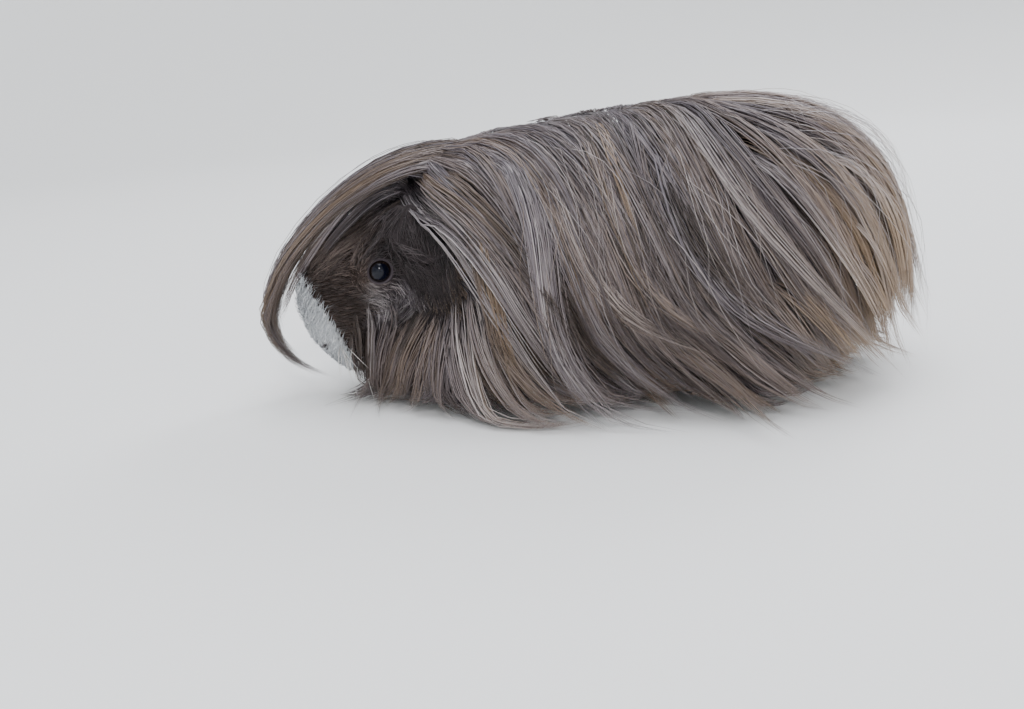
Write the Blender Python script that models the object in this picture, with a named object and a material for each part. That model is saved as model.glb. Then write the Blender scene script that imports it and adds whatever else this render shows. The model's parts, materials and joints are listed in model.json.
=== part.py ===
"""Long-haired guinea pig, life size, crouched on the floor with its head lowered.

World frame: the nose points to -X, the animal's left side faces -Y and +Z is up.
The floor is z = 0 and the origin is the middle of the outline seen from above.
Each solid reaches out to the tips of the coat, which hangs to the floor.
"""
import bpy
import bmesh
import numpy as np
from math import cos, pi, radians, sin, tan
from mathutils import Matrix, Vector

# ---- driving dimensions, metres ---------------------------------------------------------
GAP = 0.0003                # left between neighbouring solids

CREST_HEIGHT = 0.1165       # highest point of the coat, over the loin
CROWN_DROP = 0.0140         # how much lower the crest is at the crown
CROWN_X = -0.070            # where the parting starts, between the ears
CREST_X = 0.040             # where the parting is highest
RUMP_X = 0.050              # from here the coat rounds off to the rear
RUMP_LENGTH = 0.088         # from RUMP_X to the rearmost tips
RUMP_PROFILE = (2.50, 2.75)     # exponents of the rump's side outline
RUMP_PLAN = 2.30                # exponent of the rump's outline from above
FLANK_PROFILE = (2.30, 2.30)    # exponents of the flank's outline from the front

HEM_HALF_WIDTHS = [(-0.090, 0.034), (-0.070, 0.042), (-0.045, 0.055), (-0.015, 0.060),
                   (0.020, 0.061), (0.050, 0.066)]
HEM_HEIGHTS = [(-0.095, 0.0020), (-0.040, 0.0020), (-0.005, 0.0055), (0.050, 0.0085),
               (0.100, 0.0140), (0.140, 0.0180)]
# locks that flick outwards and back along the floor: place, reach out, half-width, sweep
HEM_FLICKS = [(-0.030, 0.0100, 0.016, 0.018), (0.046, 0.0230, 0.009, 0.028)]
FLICK_HEIGHT = 0.020        # the flicks fade out above this
HEM_TUFTS = 0.0016          # in and out of the hem from one tuft to the next
FLICK_FLOOR = 0.0012        # their tips lie this far above the floor

NECK_TILT = radians(12)     # the head is parted from the neck on a plane that leans forward
NECK_X = -0.063             # where that plane crosses NECK_Z
NECK_Z = 0.100
SHOULDER_X = -0.032
TRUNK_X = 0.018
HIP_X = 0.077

RUFF_LENGTH = 0.052         # chest coat in front of the neck plane, at the floor
RUFF_HALF_WIDTH = 0.050
RUFF_HEIGHT = 0.052
RUFF_LOW = 0.002            # its hem is this far above the floor

HEAD_PITCH = radians(40)    # nose down
HEAD_YAW = radians(14)      # turned a little to its left
EYE_PLACE = (-0.0838, -0.0215, 0.0580)
EYE_RADIUS = 0.0049
EYE_STATION = 0.0430        # behind the tip of the nose, along the head
EYE_SIDE = 0.0215
EYE_UP = 0.0090
# station behind the tip of the nose: top, bottom and half-width there
HEAD_TOP = [(0.0000, 0.0050), (0.0012, 0.0090), (0.0045, 0.0150), (0.0100, 0.0225),
            (0.0170, 0.0280), (0.0270, 0.0315), (0.0430, 0.0325), (0.0600, 0.0320), (0.0900, 0.0270)]
HEAD_BOTTOM = [(0.0000, -0.0150), (0.0012, -0.0185), (0.0045, -0.0215), (0.0120, -0.0235),
               (0.0300, -0.0240), (0.0500, -0.0240), (0.0700, -0.0220), (0.0900, -0.0160)]
HEAD_SIDE = [(0.0000, 0.0060), (0.0012, 0.0085), (0.0045, 0.0115), (0.0120, 0.0150),
             (0.0240, 0.0185), (0.0430, 0.0225), (0.0580, 0.0270), (0.0720, 0.0285), (0.0900, 0.0260)]
NOSTRIL = (0.0015, 0.0050, -0.0010)      # station, side, up

EAR_ROOT = (0.0630, 0.0240, 0.0235)      # station, side, up
EAR_DROOP = (0.05, 0.62, -0.80)     # its way down, as parts back, out and up
EAR_SPREAD = (0.93, 0.00, 0.08)     # across it, in the same terms
EAR_LENGTH = 0.028
EAR_WIDTH = 0.021
EAR_THICKNESS = 0.0016
EAR_ARCH = 0.0045           # its middle stands out this far
EAR_WAVE = 0.0012           # the ripple along it
EAR_BOWL = 0.0030           # its edges curl in this far

FORE_FOOT = (-0.058, 0.023)         # middle of the sole, and how far it is from the midline
HIND_FOOT = (0.058, 0.036)
FORE_FOOT_SIZE = (0.022, 0.013)     # length and width of the sole
HIND_FOOT_SIZE = (0.034, 0.015)
LEG_HEIGHTS = (0.030, 0.034)        # fore and hind, from the sole to the top
CLAW_LENGTH = 0.0036
CLAW_ROOM = 0.0065                  # how far the hollow over a foot reaches past its toes


def smooth_through(points):
    """Return a smooth function of one value that passes through the given points."""
    xs = np.array([p[0] for p in points])
    ys = np.array([p[1] for p in points])
    slopes = np.gradient(ys, xs)

    def value(x):
        x = float(min(max(x, xs[0]), xs[-1]))
        i = int(min(max(np.searchsorted(xs, x) - 1, 0), len(xs) - 2))
        h = xs[i + 1] - xs[i]
        t = (x - xs[i]) / h
        a = ys[i] * (1 + 2 * t) * (1 - t) ** 2 + ys[i + 1] * t * t * (3 - 2 * t)
        b = h * slopes[i] * t * (1 - t) ** 2 - h * slopes[i + 1] * t * t * (1 - t)
        return a + b

    return value


hem_half_width = smooth_through(HEM_HALF_WIDTHS)
hem_height = smooth_through(HEM_HEIGHTS)
head_top = smooth_through(HEAD_TOP)
head_bottom = smooth_through(HEAD_BOTTOM)
head_side = smooth_through(HEAD_SIDE)


# ---- materials and mesh helpers ---------------------------------------------------------
def material(name, colour, roughness):
    mat = bpy.data.materials.new(name)
    mat.use_nodes = True
    shader = mat.node_tree.nodes["Principled BSDF"]
    shader.inputs["Base Color"].default_value = (*colour, 1)
    shader.inputs["Roughness"].default_value = roughness
    shader.inputs["Metallic"].default_value = 0.0
    mat.diffuse_color = (*colour, 1)
    return mat


def mesh_object(name, mesh_data, mat, hide=False):
    """Link an object made of a bmesh; hide makes it a cutter that is left out."""
    mesh = bpy.data.meshes.new(name)
    bmesh.ops.recalc_face_normals(mesh_data, faces=mesh_data.faces[:])
    mesh_data.to_mesh(mesh)
    mesh_data.free()
    obj = bpy.data.objects.new(name, mesh)
    bpy.context.scene.collection.objects.link(obj)
    if mat:
        mesh.materials.append(mat)
    mesh.shade_smooth()
    mesh.set_sharp_from_angle(angle=radians(40))
    if hide:
        obj.hide_render = True
        obj.display_type = "WIRE"
    return obj


def loft(rings, close_start=True, close_end=True):
    """Join rings of points into one closed skin; a ring of one point is a pole."""
    data = bmesh.new()
    rows = [[data.verts.new(p) for p in ring] for ring in rings]
    for row, following in zip(rows, rows[1:]):
        count = max(len(row), len(following))
        for i in range(count):
            j = (i + 1) % count
            if len(row) == 1:
                data.faces.new((row[0], following[i], following[j]))
            elif len(following) == 1:
                data.faces.new((row[i], following[0], row[j]))
            else:
                data.faces.new((row[i], following[i], following[j], row[j]))
    if close_start and len(rows[0]) > 1:
        data.faces.new(rows[0])
    if close_end and len(rows[-1]) > 1:
        data.faces.new(rows[-1])
    return data


def keep_side(data, point, normal):
    """Cut with a plane, keep what lies behind the normal and close the cut."""
    geometry = data.verts[:] + data.edges[:] + data.faces[:]
    bmesh.ops.bisect_plane(data, geom=geometry, dist=1e-7, plane_co=point, plane_no=normal,
                           clear_outer=True)
    rim = [edge for edge in data.edges if edge.is_boundary]
    if rim:
        made = bmesh.ops.contextual_create(data, geom=rim)
        bmesh.ops.triangulate(data, faces=made["faces"])


def boolean(obj, cutter, operation="DIFFERENCE"):
    mod = obj.modifiers.new(operation.lower(), "BOOLEAN")
    mod.operation = operation
    mod.solver = "EXACT"
    mod.object = cutter


def ellipsoid(name, centre, radii, axes, segments=14, rings=9):
    """A closed rounded cutter with its own axes."""
    data = bmesh.new()
    bmesh.ops.create_uvsphere(data, u_segments=segments, v_segments=rings, radius=1.0)
    scale = Matrix.Diagonal((*radii, 1))
    bmesh.ops.transform(data, matrix=Matrix.Translation(centre) @ axes.to_4x4() @ scale,
                        verts=data.verts[:])
    return mesh_object(name, data, None, hide=True)


# ---- the coat over the body -------------------------------------------------------------
def crest(x):
    """Height of the parting along the back."""
    if x >= CREST_X:
        return CREST_HEIGHT
    return CREST_HEIGHT - CROWN_DROP * ((CREST_X - x) / (CREST_X - CROWN_X)) ** 1.6


def flick(x, height):
    """How far the locks' tips reach out, back and down at this place and height."""
    fade = max(0.0, 1 - height / FLICK_HEIGHT) ** 1.5
    near = [(np.exp(-abs(x - place) / width), reach, sweep)
            for place, reach, width, sweep in HEM_FLICKS]
    out = sum(weight * reach for weight, reach, _ in near)
    back = sum(weight * sweep for weight, _, sweep in near)
    down = min(1.0, sum(weight for weight, _, _ in near)) * (hem_height(x) - FLICK_FLOOR)
    return out * fade, back * fade, down * fade


def coat_column(root, towards, reach, profile, steps, tuft):
    """One line of the coat from the parting to the hem, where tufts of 1 and -1 make it ragged."""
    p, q = profile
    root_height = crest(root)
    end_x = root + towards[0] * reach
    low = hem_height(end_x)
    column = []
    for k in range(1, steps + 1):
        s = pi / 2 * (k / steps) ** 0.9
        outward = sin(s) ** (2 / p)
        up = max(cos(s), 0.0) ** (2 / q) if k < steps else 0.0
        z = low + (root_height - low) * up
        x = root + towards[0] * reach * outward
        out, back, down = flick(end_x, z - low)
        z -= down
        out += tuft * HEM_TUFTS * (k / steps) ** 6
        x += back + towards[0] * out
        y = towards[1] * (reach * outward + out)
        column.append((x, y, z))
    return column


def body_mesh(side_steps=16, rump_steps=13, column_steps=13):
    """The whole mass of the coat from the neck to the rump, as a closed dome."""
    start = CROWN_X - 0.012
    roots = [start + (RUMP_X - start) * i / side_steps for i in range(side_steps + 1)]
    data = bmesh.new()
    ridge = [data.verts.new((x, 0, crest(x))) for x in roots]
    columns = []
    for i, x in enumerate(roots):           # left side, front to rear
        columns.append((i, coat_column(x, (0, -1), hem_half_width(x), FLANK_PROFILE, column_steps,
                                       (-1) ** i)))
    for k in range(1, 2 * rump_steps):      # round the rump
        a = -pi / 2 + pi * k / (2 * rump_steps)
        ex = RUMP_LENGTH * abs(cos(a)) ** (2 / RUMP_PLAN)
        ey = hem_half_width(RUMP_X) * abs(sin(a)) ** (2 / RUMP_PLAN)
        reach = (ex * ex + ey * ey) ** 0.5
        towards = (ex / reach, (ey if a > 0 else -ey) / reach)
        mix = ex / reach
        profile = tuple(f + (r - f) * mix for f, r in zip(FLANK_PROFILE, RUMP_PROFILE))
        columns.append((side_steps, coat_column(RUMP_X, towards, reach, profile, column_steps,
                                                 (-1) ** (k + side_steps))))
    for i in range(side_steps, -1, -1):     # right side, rear to front
        x = roots[i]
        columns.append((i, coat_column(x, (0, 1), hem_half_width(x), FLANK_PROFILE, column_steps,
                                       (-1) ** i)))
    rows = [(ridge[i], [data.verts.new(p) for p in points]) for i, points in columns]
    for (top_a, row_a), (top_b, row_b) in zip(rows, rows[1:]):
        if top_a is top_b:
            data.faces.new((top_a, row_a[0], row_b[0]))
        else:
            data.faces.new((top_a, row_a[0], row_b[0], top_b))
        for a, b, c, d in zip(row_a, row_a[1:], row_b[1:], row_b):
            data.faces.new((a, b, c, d))
    front = [ridge[0]] + rows[0][1] + rows[-1][1][::-1]
    data.faces.new(front)
    left = [row[-1] for _, row in rows[:len(rows) // 2 + 1]]
    right = [row[-1] for _, row in rows[len(rows) // 2:]][::-1]
    belly = [data.verts.new(((a.co.x + b.co.x) / 2, 0, (a.co.z + b.co.z) / 2))
             for a, b in zip(left[:-1], right[:-1])] + [left[-1]]
    for a, b, c, d in zip(left, left[1:], belly[1:], belly):
        data.faces.new([v for i, v in enumerate((a, b, c, d)) if v not in (a, b, c, d)[:i]])
    for a, b, c, d in zip(right, right[1:], belly[1:], belly):
        data.faces.new([v for i, v in enumerate((a, b, c, d)) if v not in (a, b, c, d)[:i]])
    bmesh.ops.recalc_face_normals(data, faces=data.faces[:])
    return data


def neck_plane(offset):
    """A point and the forward normal of the plane between the head and the neck."""
    normal = Vector((-cos(NECK_TILT), 0, -sin(NECK_TILT)))
    return Vector((NECK_X, 0, NECK_Z)) + normal * offset, normal


def build_body(mat):
    """Part the coat into the neck, shoulders, trunk and rump with thin cuts."""
    whole = body_mesh()
    point, normal = neck_plane(0)
    stations = [(point, normal), *((Vector((x, 0, 0)), Vector((-1, 0, 0)))
                                   for x in (SHOULDER_X, TRUNK_X, HIP_X))]
    parts = {}
    for i, name in enumerate(("neck", "shoulders", "trunk", "rump")):
        piece = whole.copy()
        place, forward = stations[i]
        keep_side(piece, place - forward * GAP / 2, forward)
        if i < len(stations) - 1:
            place, forward = stations[i + 1]
            keep_side(piece, place + forward * GAP / 2, -forward)
        parts[name] = mesh_object(name, piece, mat)
    whole.free()
    return parts


def build_ruff(mat, steps=14, columns=22):
    """The coat of the chest and cheeks, in front of the neck plane and under the head."""
    foot_x = NECK_X + NECK_Z * tan(NECK_TILT)
    rings = []
    for k in range(1, steps + 1):
        s = pi / 2 * k / steps
        outward = sin(s)
        z = RUFF_LOW + RUFF_HEIGHT * max(cos(s), 0.0)
        ring = []
        for i in range(columns):
            a = 2 * pi * i / columns
            ring.append((foot_x - RUFF_LENGTH * outward * cos(a),
                         RUFF_HALF_WIDTH * outward * sin(a), z))
        rings.append(ring)
    data = loft([[(foot_x, 0, RUFF_LOW + RUFF_HEIGHT)]] + rings)
    point, normal = neck_plane(GAP / 2)
    keep_side(data, point, -normal)
    return mesh_object("ruff", data, mat)


# ---- the head ---------------------------------------------------------------------------
def head_axes():
    """Columns: back along the head, out to its left, and up from it."""
    turn = Matrix.Rotation(HEAD_YAW, 3, "Z") @ Matrix.Rotation(-HEAD_PITCH, 3, "Y")
    back = turn @ Vector((1, 0, 0))
    left = turn @ Vector((0, -1, 0))
    up = turn @ Vector((0, 0, 1))
    return back, left, up


def head_point(station, side, up):
    """World place of a point given along, out to the left and up from the nose's tip."""
    back, left, rise = head_axes()
    tip = Vector(EYE_PLACE) - back * EYE_STATION - left * EYE_SIDE - rise * EYE_UP
    return tip + back * station + left * side + rise * up


def head_mesh(swell=0.0, count=28, steps=24, length=0.088):
    rings = []
    for k in range(steps + 1):
        station = length * (1 - cos(pi / 2 * k / steps)) if k < steps else length
        top = head_top(station) + swell
        bottom = head_bottom(station) - swell
        side = head_side(station) + swell
        widest = bottom + (top - bottom) * 0.42
        ring = []
        for i in range(count):
            a = 2 * pi * i / count
            across = abs(cos(a)) ** 0.92 * (1 if cos(a) >= 0 else -1)
            rise = abs(sin(a)) ** 0.92
            z = widest + (top - widest) * rise if sin(a) >= 0 else widest - (widest - bottom) * rise
            ring.append(head_point(station - (swell if k == 0 else 0), side * across, z))
        rings.append(ring)
    return loft(rings)


def build_head(mat, eye_mat):
    data = head_mesh()
    point, normal = neck_plane(GAP / 2)
    keep_side(data, point, -normal)
    head = mesh_object("head", data, mat)
    axes = Matrix(head_axes()).transposed()
    station, side, up = NOSTRIL
    for sign, word in ((1, "left"), (-1, "right")):
        eye = bmesh.new()
        bmesh.ops.create_uvsphere(eye, u_segments=16, v_segments=10, radius=EYE_RADIUS)
        place = head_point(EYE_STATION, sign * (EYE_SIDE - 0.0018), EYE_UP)
        bmesh.ops.translate(eye, vec=place, verts=eye.verts[:])
        mesh_object("eye_" + word, eye, eye_mat)
        socket = EYE_RADIUS + GAP * 1.6
        boolean(head, ellipsoid("cutter_socket_" + word, place, (socket,) * 3, axes, 18, 12))
        hole = head_point(station, sign * side, up)
        boolean(head, ellipsoid("cutter_nostril_" + word, hole, (0.0016, 0.0014, 0.0011), axes, 8, 6))
    mouth = head_point(0.0020, 0, -0.0120)
    boolean(head, ellipsoid("cutter_mouth", mouth, (0.0080, 0.0095, 0.0006), axes, 16, 6))
    return head


def build_ears(mat, head_cutter):
    for sign, word in ((1, "left"), (-1, "right")):
        station, side, rise = EAR_ROOT
        root = head_point(station, sign * side, rise)
        back, left, up = head_axes()
        down = (back * EAR_DROOP[0] + left * sign * EAR_DROOP[1] + up * EAR_DROOP[2]).normalized()
        across = (back * EAR_SPREAD[0] + up * EAR_SPREAD[2]).normalized()
        out = across.cross(down).normalized() * sign
        rows = []
        steps, half = 9, 5
        for k in range(steps + 1):
            t = k / steps
            swell = sin(pi * min(t * 0.86 + 0.10, 1.0)) ** 0.62     # full near the root, round tip
            width = EAR_WIDTH / 2 * (swell + 0.02)
            wave = EAR_WAVE * sin(t * pi * 1.6)
            line = root + down * EAR_LENGTH * t + out * (EAR_ARCH * sin(pi * 0.8 * t) + wave)
            outer, inner = [], []
            for i in range(-half, half + 1):
                w = i / half
                bowl = -out * EAR_BOWL * w * w
                thick = EAR_THICKNESS / 2 * (1 - 0.5 * abs(w) ** 3)
                spot = line + across * width * w + bowl
                outer.append(spot + out * thick)
                inner.append(spot - out * thick)
            rows.append(outer + inner[::-1])
        petal = loft(rows)
        point, normal = neck_plane(GAP / 2)
        keep_side(petal, point, -normal)
        ear = mesh_object("ear_" + word, petal, mat)
        boolean(ear, head_cutter)


# ---- forelock ---------------------------------------------------------------------------
FORELOCK_PATH = [(-0.0600, 0.1010), (-0.0780, 0.0985), (-0.0960, 0.0905), (-0.1130, 0.0780),
                 (-0.1290, 0.0610), (-0.1385, 0.0420), (-0.1375, 0.0250), (-0.1285, 0.0120),
                 (-0.1120, 0.0024)]
FORELOCK_WIDTH = [(0.0, 0.0190), (0.25, 0.0200), (0.5, 0.0120), (0.7, 0.0052), (1.0, 0.0012)]
FORELOCK_DEPTH = [(0.0, 0.0045), (0.3, 0.0042), (0.6, 0.0028), (1.0, 0.0008)]
FORELOCK_DROOP = 0.35       # how far its edges hang, as a part of its width


def build_forelock(mat, head_cutter, steps=22, count=14):
    """Long fringe that springs from the crown and arcs down in front of the face."""
    spread = [i / (len(FORELOCK_PATH) - 1) for i in range(len(FORELOCK_PATH))]
    path_x = smooth_through([(s, p[0]) for s, p in zip(spread, FORELOCK_PATH)])
    path_z = smooth_through([(s, p[1]) for s, p in zip(spread, FORELOCK_PATH)])
    width = smooth_through(FORELOCK_WIDTH)
    depth = smooth_through(FORELOCK_DEPTH)
    nudge = 0.01        # for the direction along the path
    rings = []
    for k in range(steps + 1):
        s = k / steps
        low, high = max(s - nudge, 0), min(s + nudge, 1)
        along = Vector((path_x(high) - path_x(low), 0, path_z(high) - path_z(low))).normalized()
        out = Vector((along.z, 0, -along.x))
        if out.x > 0 and s > 0.2:
            out = -out
        ring = []
        for i in range(count):
            a = 2 * pi * i / count
            droop = -out * FORELOCK_DROOP * width(s) * cos(a) ** 2
            ring.append(Vector((path_x(s), width(s) * cos(a), path_z(s)))
                        + out * depth(s) * sin(a) + droop)
        rings.append(ring)
    data = loft(rings)
    point, normal = neck_plane(GAP / 2)
    keep_side(data, point, -normal)
    lock = mesh_object("forelock", data, mat)
    boolean(lock, head_cutter)
    return lock


# ---- legs and claws ---------------------------------------------------------------------
def leg_rings(foot, sign, size, height, swell=0.0, room=0.0, toes=0, count=20):
    """Level outlines from the sole up: a foot that narrows into the leg, with room for claws."""
    x, side = foot
    length, width = size
    #          height     length factor, width factor, shift back
    levels = [(0.0000, 0.96, 0.94, 0.00), (0.0022, 1.00, 1.00, 0.00), (0.0050, 0.90, 0.92, 0.04),
              (0.0085, 0.62, 0.84, 0.16), (0.0130, 0.50, 0.86, 0.22), (0.0200, 0.54, 0.92, 0.22),
              (height, 0.60, 1.02, 0.20)]
    rings = []
    for z, long_factor, wide_factor, shift in levels:
        ahead = room / 2 if z < 0.010 else 0.0
        a_axis = length / 2 * long_factor + swell + ahead
        b_axis = width / 2 * wide_factor + swell
        ring = []
        for i in range(count):
            a = 2 * pi * i / count
            lobe = 1.0
            if toes and z < 0.006 and cos(a) < -0.1:
                lobe = 1 + 0.07 * cos(a) * cos(toes * 2 * (a - pi)) * -1
            ring.append((x - ahead + shift * length + a_axis * cos(a) * lobe,
                         sign * side + b_axis * sin(a), z))
        rings.append(ring)
    return rings


def claw(name, root, forward, length, mat):
    """A small curved cone, its tip just clear of the floor."""
    rings = []
    side = forward.cross(Vector((0, 0, 1))).normalized()
    for k, radius in enumerate((0.00085, 0.00075, 0.0005)):
        t = k / 3
        centre = root + forward * length * t + Vector((0, 0, -0.0009 * t * t))
        rings.append([centre + side * radius * cos(2 * pi * i / 6) + Vector((0, 0, 1)) * radius
                      * sin(2 * pi * i / 6) for i in range(6)])
    rings.append([root + forward * length + Vector((0, 0, -0.0009))])
    mesh_object(name, loft(rings), mat)


def build_legs(skin_mat, claw_mat, parts):
    plans = (("fore", FORE_FOOT, FORE_FOOT_SIZE, LEG_HEIGHTS[0], 4, 0.0024),
             ("hind", HIND_FOOT, HIND_FOOT_SIZE, LEG_HEIGHTS[1], 3, 0.0034))
    for kind, foot, size, height, toes, spacing in plans:
        for sign, word in ((-1, "left"), (1, "right")):
            rings = leg_rings(foot, sign, size, height, toes=toes)
            mesh_object(f"{kind}leg_{word}", loft(rings), skin_mat)
            pocket_rings = leg_rings(foot, sign, size, height, swell=0.0012, room=CLAW_ROOM)
            pocket_rings[0] = [(p[0], p[1], -0.004) for p in pocket_rings[0]]
            pocket_rings[-1] = [(p[0], p[1], height + GAP) for p in pocket_rings[-1]]
            pocket = mesh_object(f"cutter_{kind}leg_{word}", loft(pocket_rings), None, hide=True)
            for name in ("ruff", "neck", "shoulders", "trunk", "rump"):
                low = min((Vector(c).x for c in parts[name].bound_box))
                high = max((Vector(c).x for c in parts[name].bound_box))
                if foot[0] - size[0] < high and foot[0] + size[0] > low:
                    boolean(parts[name], pocket)
            for i in range(toes):
                off = (i - (toes - 1) / 2) * spacing
                reach = size[0] / 2 * (1 - (off / (size[1] * 0.75)) ** 2) + 0.0006
                root = Vector((foot[0] - reach - 0.0004, sign * foot[1] + off, 0.0021))
                claw(f"claw_{kind}_{word}_{i + 1}", root, Vector((-1, 0.12 * off / spacing, 0)),
                     CLAW_LENGTH, claw_mat)


def centre_on_origin():
    """Move everything so that the outline from above is centred and the feet are at z = 0."""
    bpy.context.view_layer.update()
    graph = bpy.context.evaluated_depsgraph_get()
    low, high = Vector((9, 9, 9)), Vector((-9, -9, -9))
    for obj in bpy.data.objects:
        if obj.hide_render:
            continue
        for corner in obj.evaluated_get(graph).bound_box:
            for axis in range(3):
                low[axis] = min(low[axis], corner[axis])
                high[axis] = max(high[axis], corner[axis])
    shift = Vector((-(low.x + high.x) / 2, -(low.y + high.y) / 2, -low.z))
    for obj in bpy.data.objects:
        obj.data.transform(Matrix.Translation(shift))
    return shift, high - low


def main():
    for obj in list(bpy.data.objects):
        bpy.data.objects.remove(obj)
    coat = material("coat", (0.145, 0.118, 0.112), 0.55)
    face = material("face", (0.075, 0.052, 0.045), 0.60)
    flesh = material("flesh", (0.30, 0.21, 0.19), 0.55)
    horn = material("horn", (0.20, 0.16, 0.13), 0.35)
    eye = material("eye", (0.010, 0.010, 0.016), 0.08)
    parts = build_body(coat)
    parts["ruff"] = build_ruff(coat)
    build_head(face, eye)
    head_cutter = mesh_object("cutter_head", head_mesh(swell=GAP), None, hide=True)
    boolean(parts["ruff"], head_cutter)
    build_ears(flesh, head_cutter)
    build_forelock(coat, head_cutter)
    build_legs(flesh, horn, parts)
    shift, size = centre_on_origin()
    print("shift", [round(v, 5) for v in shift], "size", [round(v, 4) for v in size])


main()
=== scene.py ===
import json
from math import cos, pi, radians, sin, tan

import bpy
import numpy as np
from mathutils import Matrix, Vector
from mathutils.bvhtree import BVHTree

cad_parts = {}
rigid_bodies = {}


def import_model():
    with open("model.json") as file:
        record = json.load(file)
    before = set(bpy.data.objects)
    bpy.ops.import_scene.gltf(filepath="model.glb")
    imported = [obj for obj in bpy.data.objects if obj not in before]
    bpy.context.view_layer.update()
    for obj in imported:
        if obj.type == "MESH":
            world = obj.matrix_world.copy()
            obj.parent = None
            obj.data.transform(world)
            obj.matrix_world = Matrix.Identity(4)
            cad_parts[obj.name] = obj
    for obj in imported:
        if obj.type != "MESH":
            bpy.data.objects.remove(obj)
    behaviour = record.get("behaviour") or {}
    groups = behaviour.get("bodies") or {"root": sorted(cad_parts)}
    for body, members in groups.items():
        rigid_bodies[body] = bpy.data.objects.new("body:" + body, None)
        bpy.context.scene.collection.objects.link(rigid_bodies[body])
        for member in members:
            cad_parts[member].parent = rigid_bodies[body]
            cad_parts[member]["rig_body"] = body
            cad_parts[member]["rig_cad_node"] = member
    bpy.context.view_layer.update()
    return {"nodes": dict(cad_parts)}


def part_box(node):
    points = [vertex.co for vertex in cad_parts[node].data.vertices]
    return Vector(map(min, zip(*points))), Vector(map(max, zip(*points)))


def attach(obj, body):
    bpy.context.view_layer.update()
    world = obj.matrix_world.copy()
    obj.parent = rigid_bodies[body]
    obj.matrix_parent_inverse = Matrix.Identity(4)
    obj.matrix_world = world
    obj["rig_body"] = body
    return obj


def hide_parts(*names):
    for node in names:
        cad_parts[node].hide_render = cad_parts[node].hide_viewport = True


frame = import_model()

# A long-haired guinea pig, life size: nose to -X, its left side to -Y, the floor at z = 0.
# Lengths are in metres and angles in degrees, unless a note says otherwise.


# small helpers

def linearColour(code):
    values = [int(code[i:i + 2], 16) / 255 for i in (0, 2, 4)]
    linear = [v / 12.92 if v <= 0.04045 else ((v + 0.055) / 1.055) ** 2.4 for v in values]
    return (*linear, 1.0)


def addNode(tree, kind, settings=None, links=None):
    # settings are the node's own options or the values of its inputs, links feed its inputs
    node = tree.nodes.new(kind)
    for key, value in (settings or {}).items():
        if isinstance(key, int) or key in node.inputs:
            node.inputs[key].default_value = value
        else:
            setattr(node, key, value)
    for key, socket in (links or {}).items():
        tree.links.new(socket, node.inputs[key])
    return node


def newMaterial(name):
    material = bpy.data.materials.new(name)
    material.use_nodes = True
    material.node_tree.nodes.clear()
    return material, material.node_tree


def addShader(tree, settings, links):
    # the surface shader and the material's output
    shader = addNode(tree, "ShaderNodeBsdfPrincipled", settings, links)
    addNode(tree, "ShaderNodeOutputMaterial", links={"Surface": shader.outputs[0]})


def addNoise(tree, place, size, detail, roughness=0.5):
    # blotches of about this size, in metres
    settings = {"Scale": 1 / size, "Detail": detail, "Roughness": roughness}
    return addNode(tree, "ShaderNodeTexNoise", settings, {"Vector": place}).outputs[0]


def addRange(tree, value, low, high, toLow=0.0, toHigh=1.0, kind="LINEAR"):
    settings = {"interpolation_type": kind, "From Min": low, "From Max": high,
                "To Min": toLow, "To Max": toHigh}
    return addNode(tree, "ShaderNodeMapRange", settings, {"Value": value}).outputs[0]


def addRamp(tree, factor, *stops):
    # a colour ramp through stops of a position and a colour
    node = addNode(tree, "ShaderNodeValToRGB", links={0: factor})
    elements = node.color_ramp.elements
    elements.remove(elements[1])
    for i, (position, colour) in enumerate(stops):
        element = elements[0] if i == 0 else elements.new(position)
        element.position, element.color = position, linearColour(colour)
    return node.outputs[0]


def addVectorMaths(tree, operation, vector, other=None):
    settings = {"operation": operation}
    if other is not None:
        settings[1] = tuple(other)
    node = addNode(tree, "ShaderNodeVectorMath", settings, {0: vector})
    return node.outputs["Vector" if operation == "SUBTRACT" else "Value"]


def objectPlace(tree):
    return addNode(tree, "ShaderNodeTexCoord").outputs["Object"]


def selectOnly(*pieces):
    if bpy.context.object and bpy.context.object.mode != "OBJECT":
        bpy.ops.object.mode_set(mode="OBJECT")
    bpy.ops.object.select_all(action="DESELECT")
    for piece in pieces:
        piece.select_set(True)
    if pieces:
        bpy.context.view_layer.objects.active = pieces[0]


def editWhole(piece, step):
    # run one edit-mode step on all of a piece
    selectOnly(piece)
    bpy.ops.object.mode_set(mode="EDIT")
    bpy.ops.mesh.select_all(action="SELECT")
    step()
    bpy.ops.object.mode_set(mode="OBJECT")


def applyModifier(piece, kind, **settings):
    selectOnly(piece)
    modifier = piece.modifiers.new(kind.lower(), kind)
    for key, value in settings.items():
        setattr(modifier, key, value)
    bpy.ops.object.modifier_apply(modifier=modifier.name)


def shadeSmooth(piece):
    selectOnly(piece)
    bpy.ops.object.shade_smooth()


def readVectors(mesh, key):
    values = np.zeros(len(mesh.vertices) * 3, np.float32)
    mesh.vertices.foreach_get(key, values)
    return values.reshape(-1, 3).astype(float)


def readPoints(mesh):
    return readVectors(mesh, "co")


def writePoints(mesh, points):
    mesh.vertices.foreach_set("co", points.astype(np.float32).ravel())
    mesh.update()


def smoothStep(low, high, value):
    t = np.clip((value - low) / (high - low), 0, 1)
    return t * t * (3 - 2 * t)


def bell(distance, width):
    return np.exp(-(distance / width) ** 2)


def unit(vectors):
    return vectors / np.maximum(np.linalg.norm(vectors, axis=-1, keepdims=True), 1e-12)


# camera, floor and lights

cameraSettings = {"place": (-0.0316, -0.3602, 0.1347), "pitch": 19.02, "roll": 4.3, "lens": 29.88}


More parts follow.
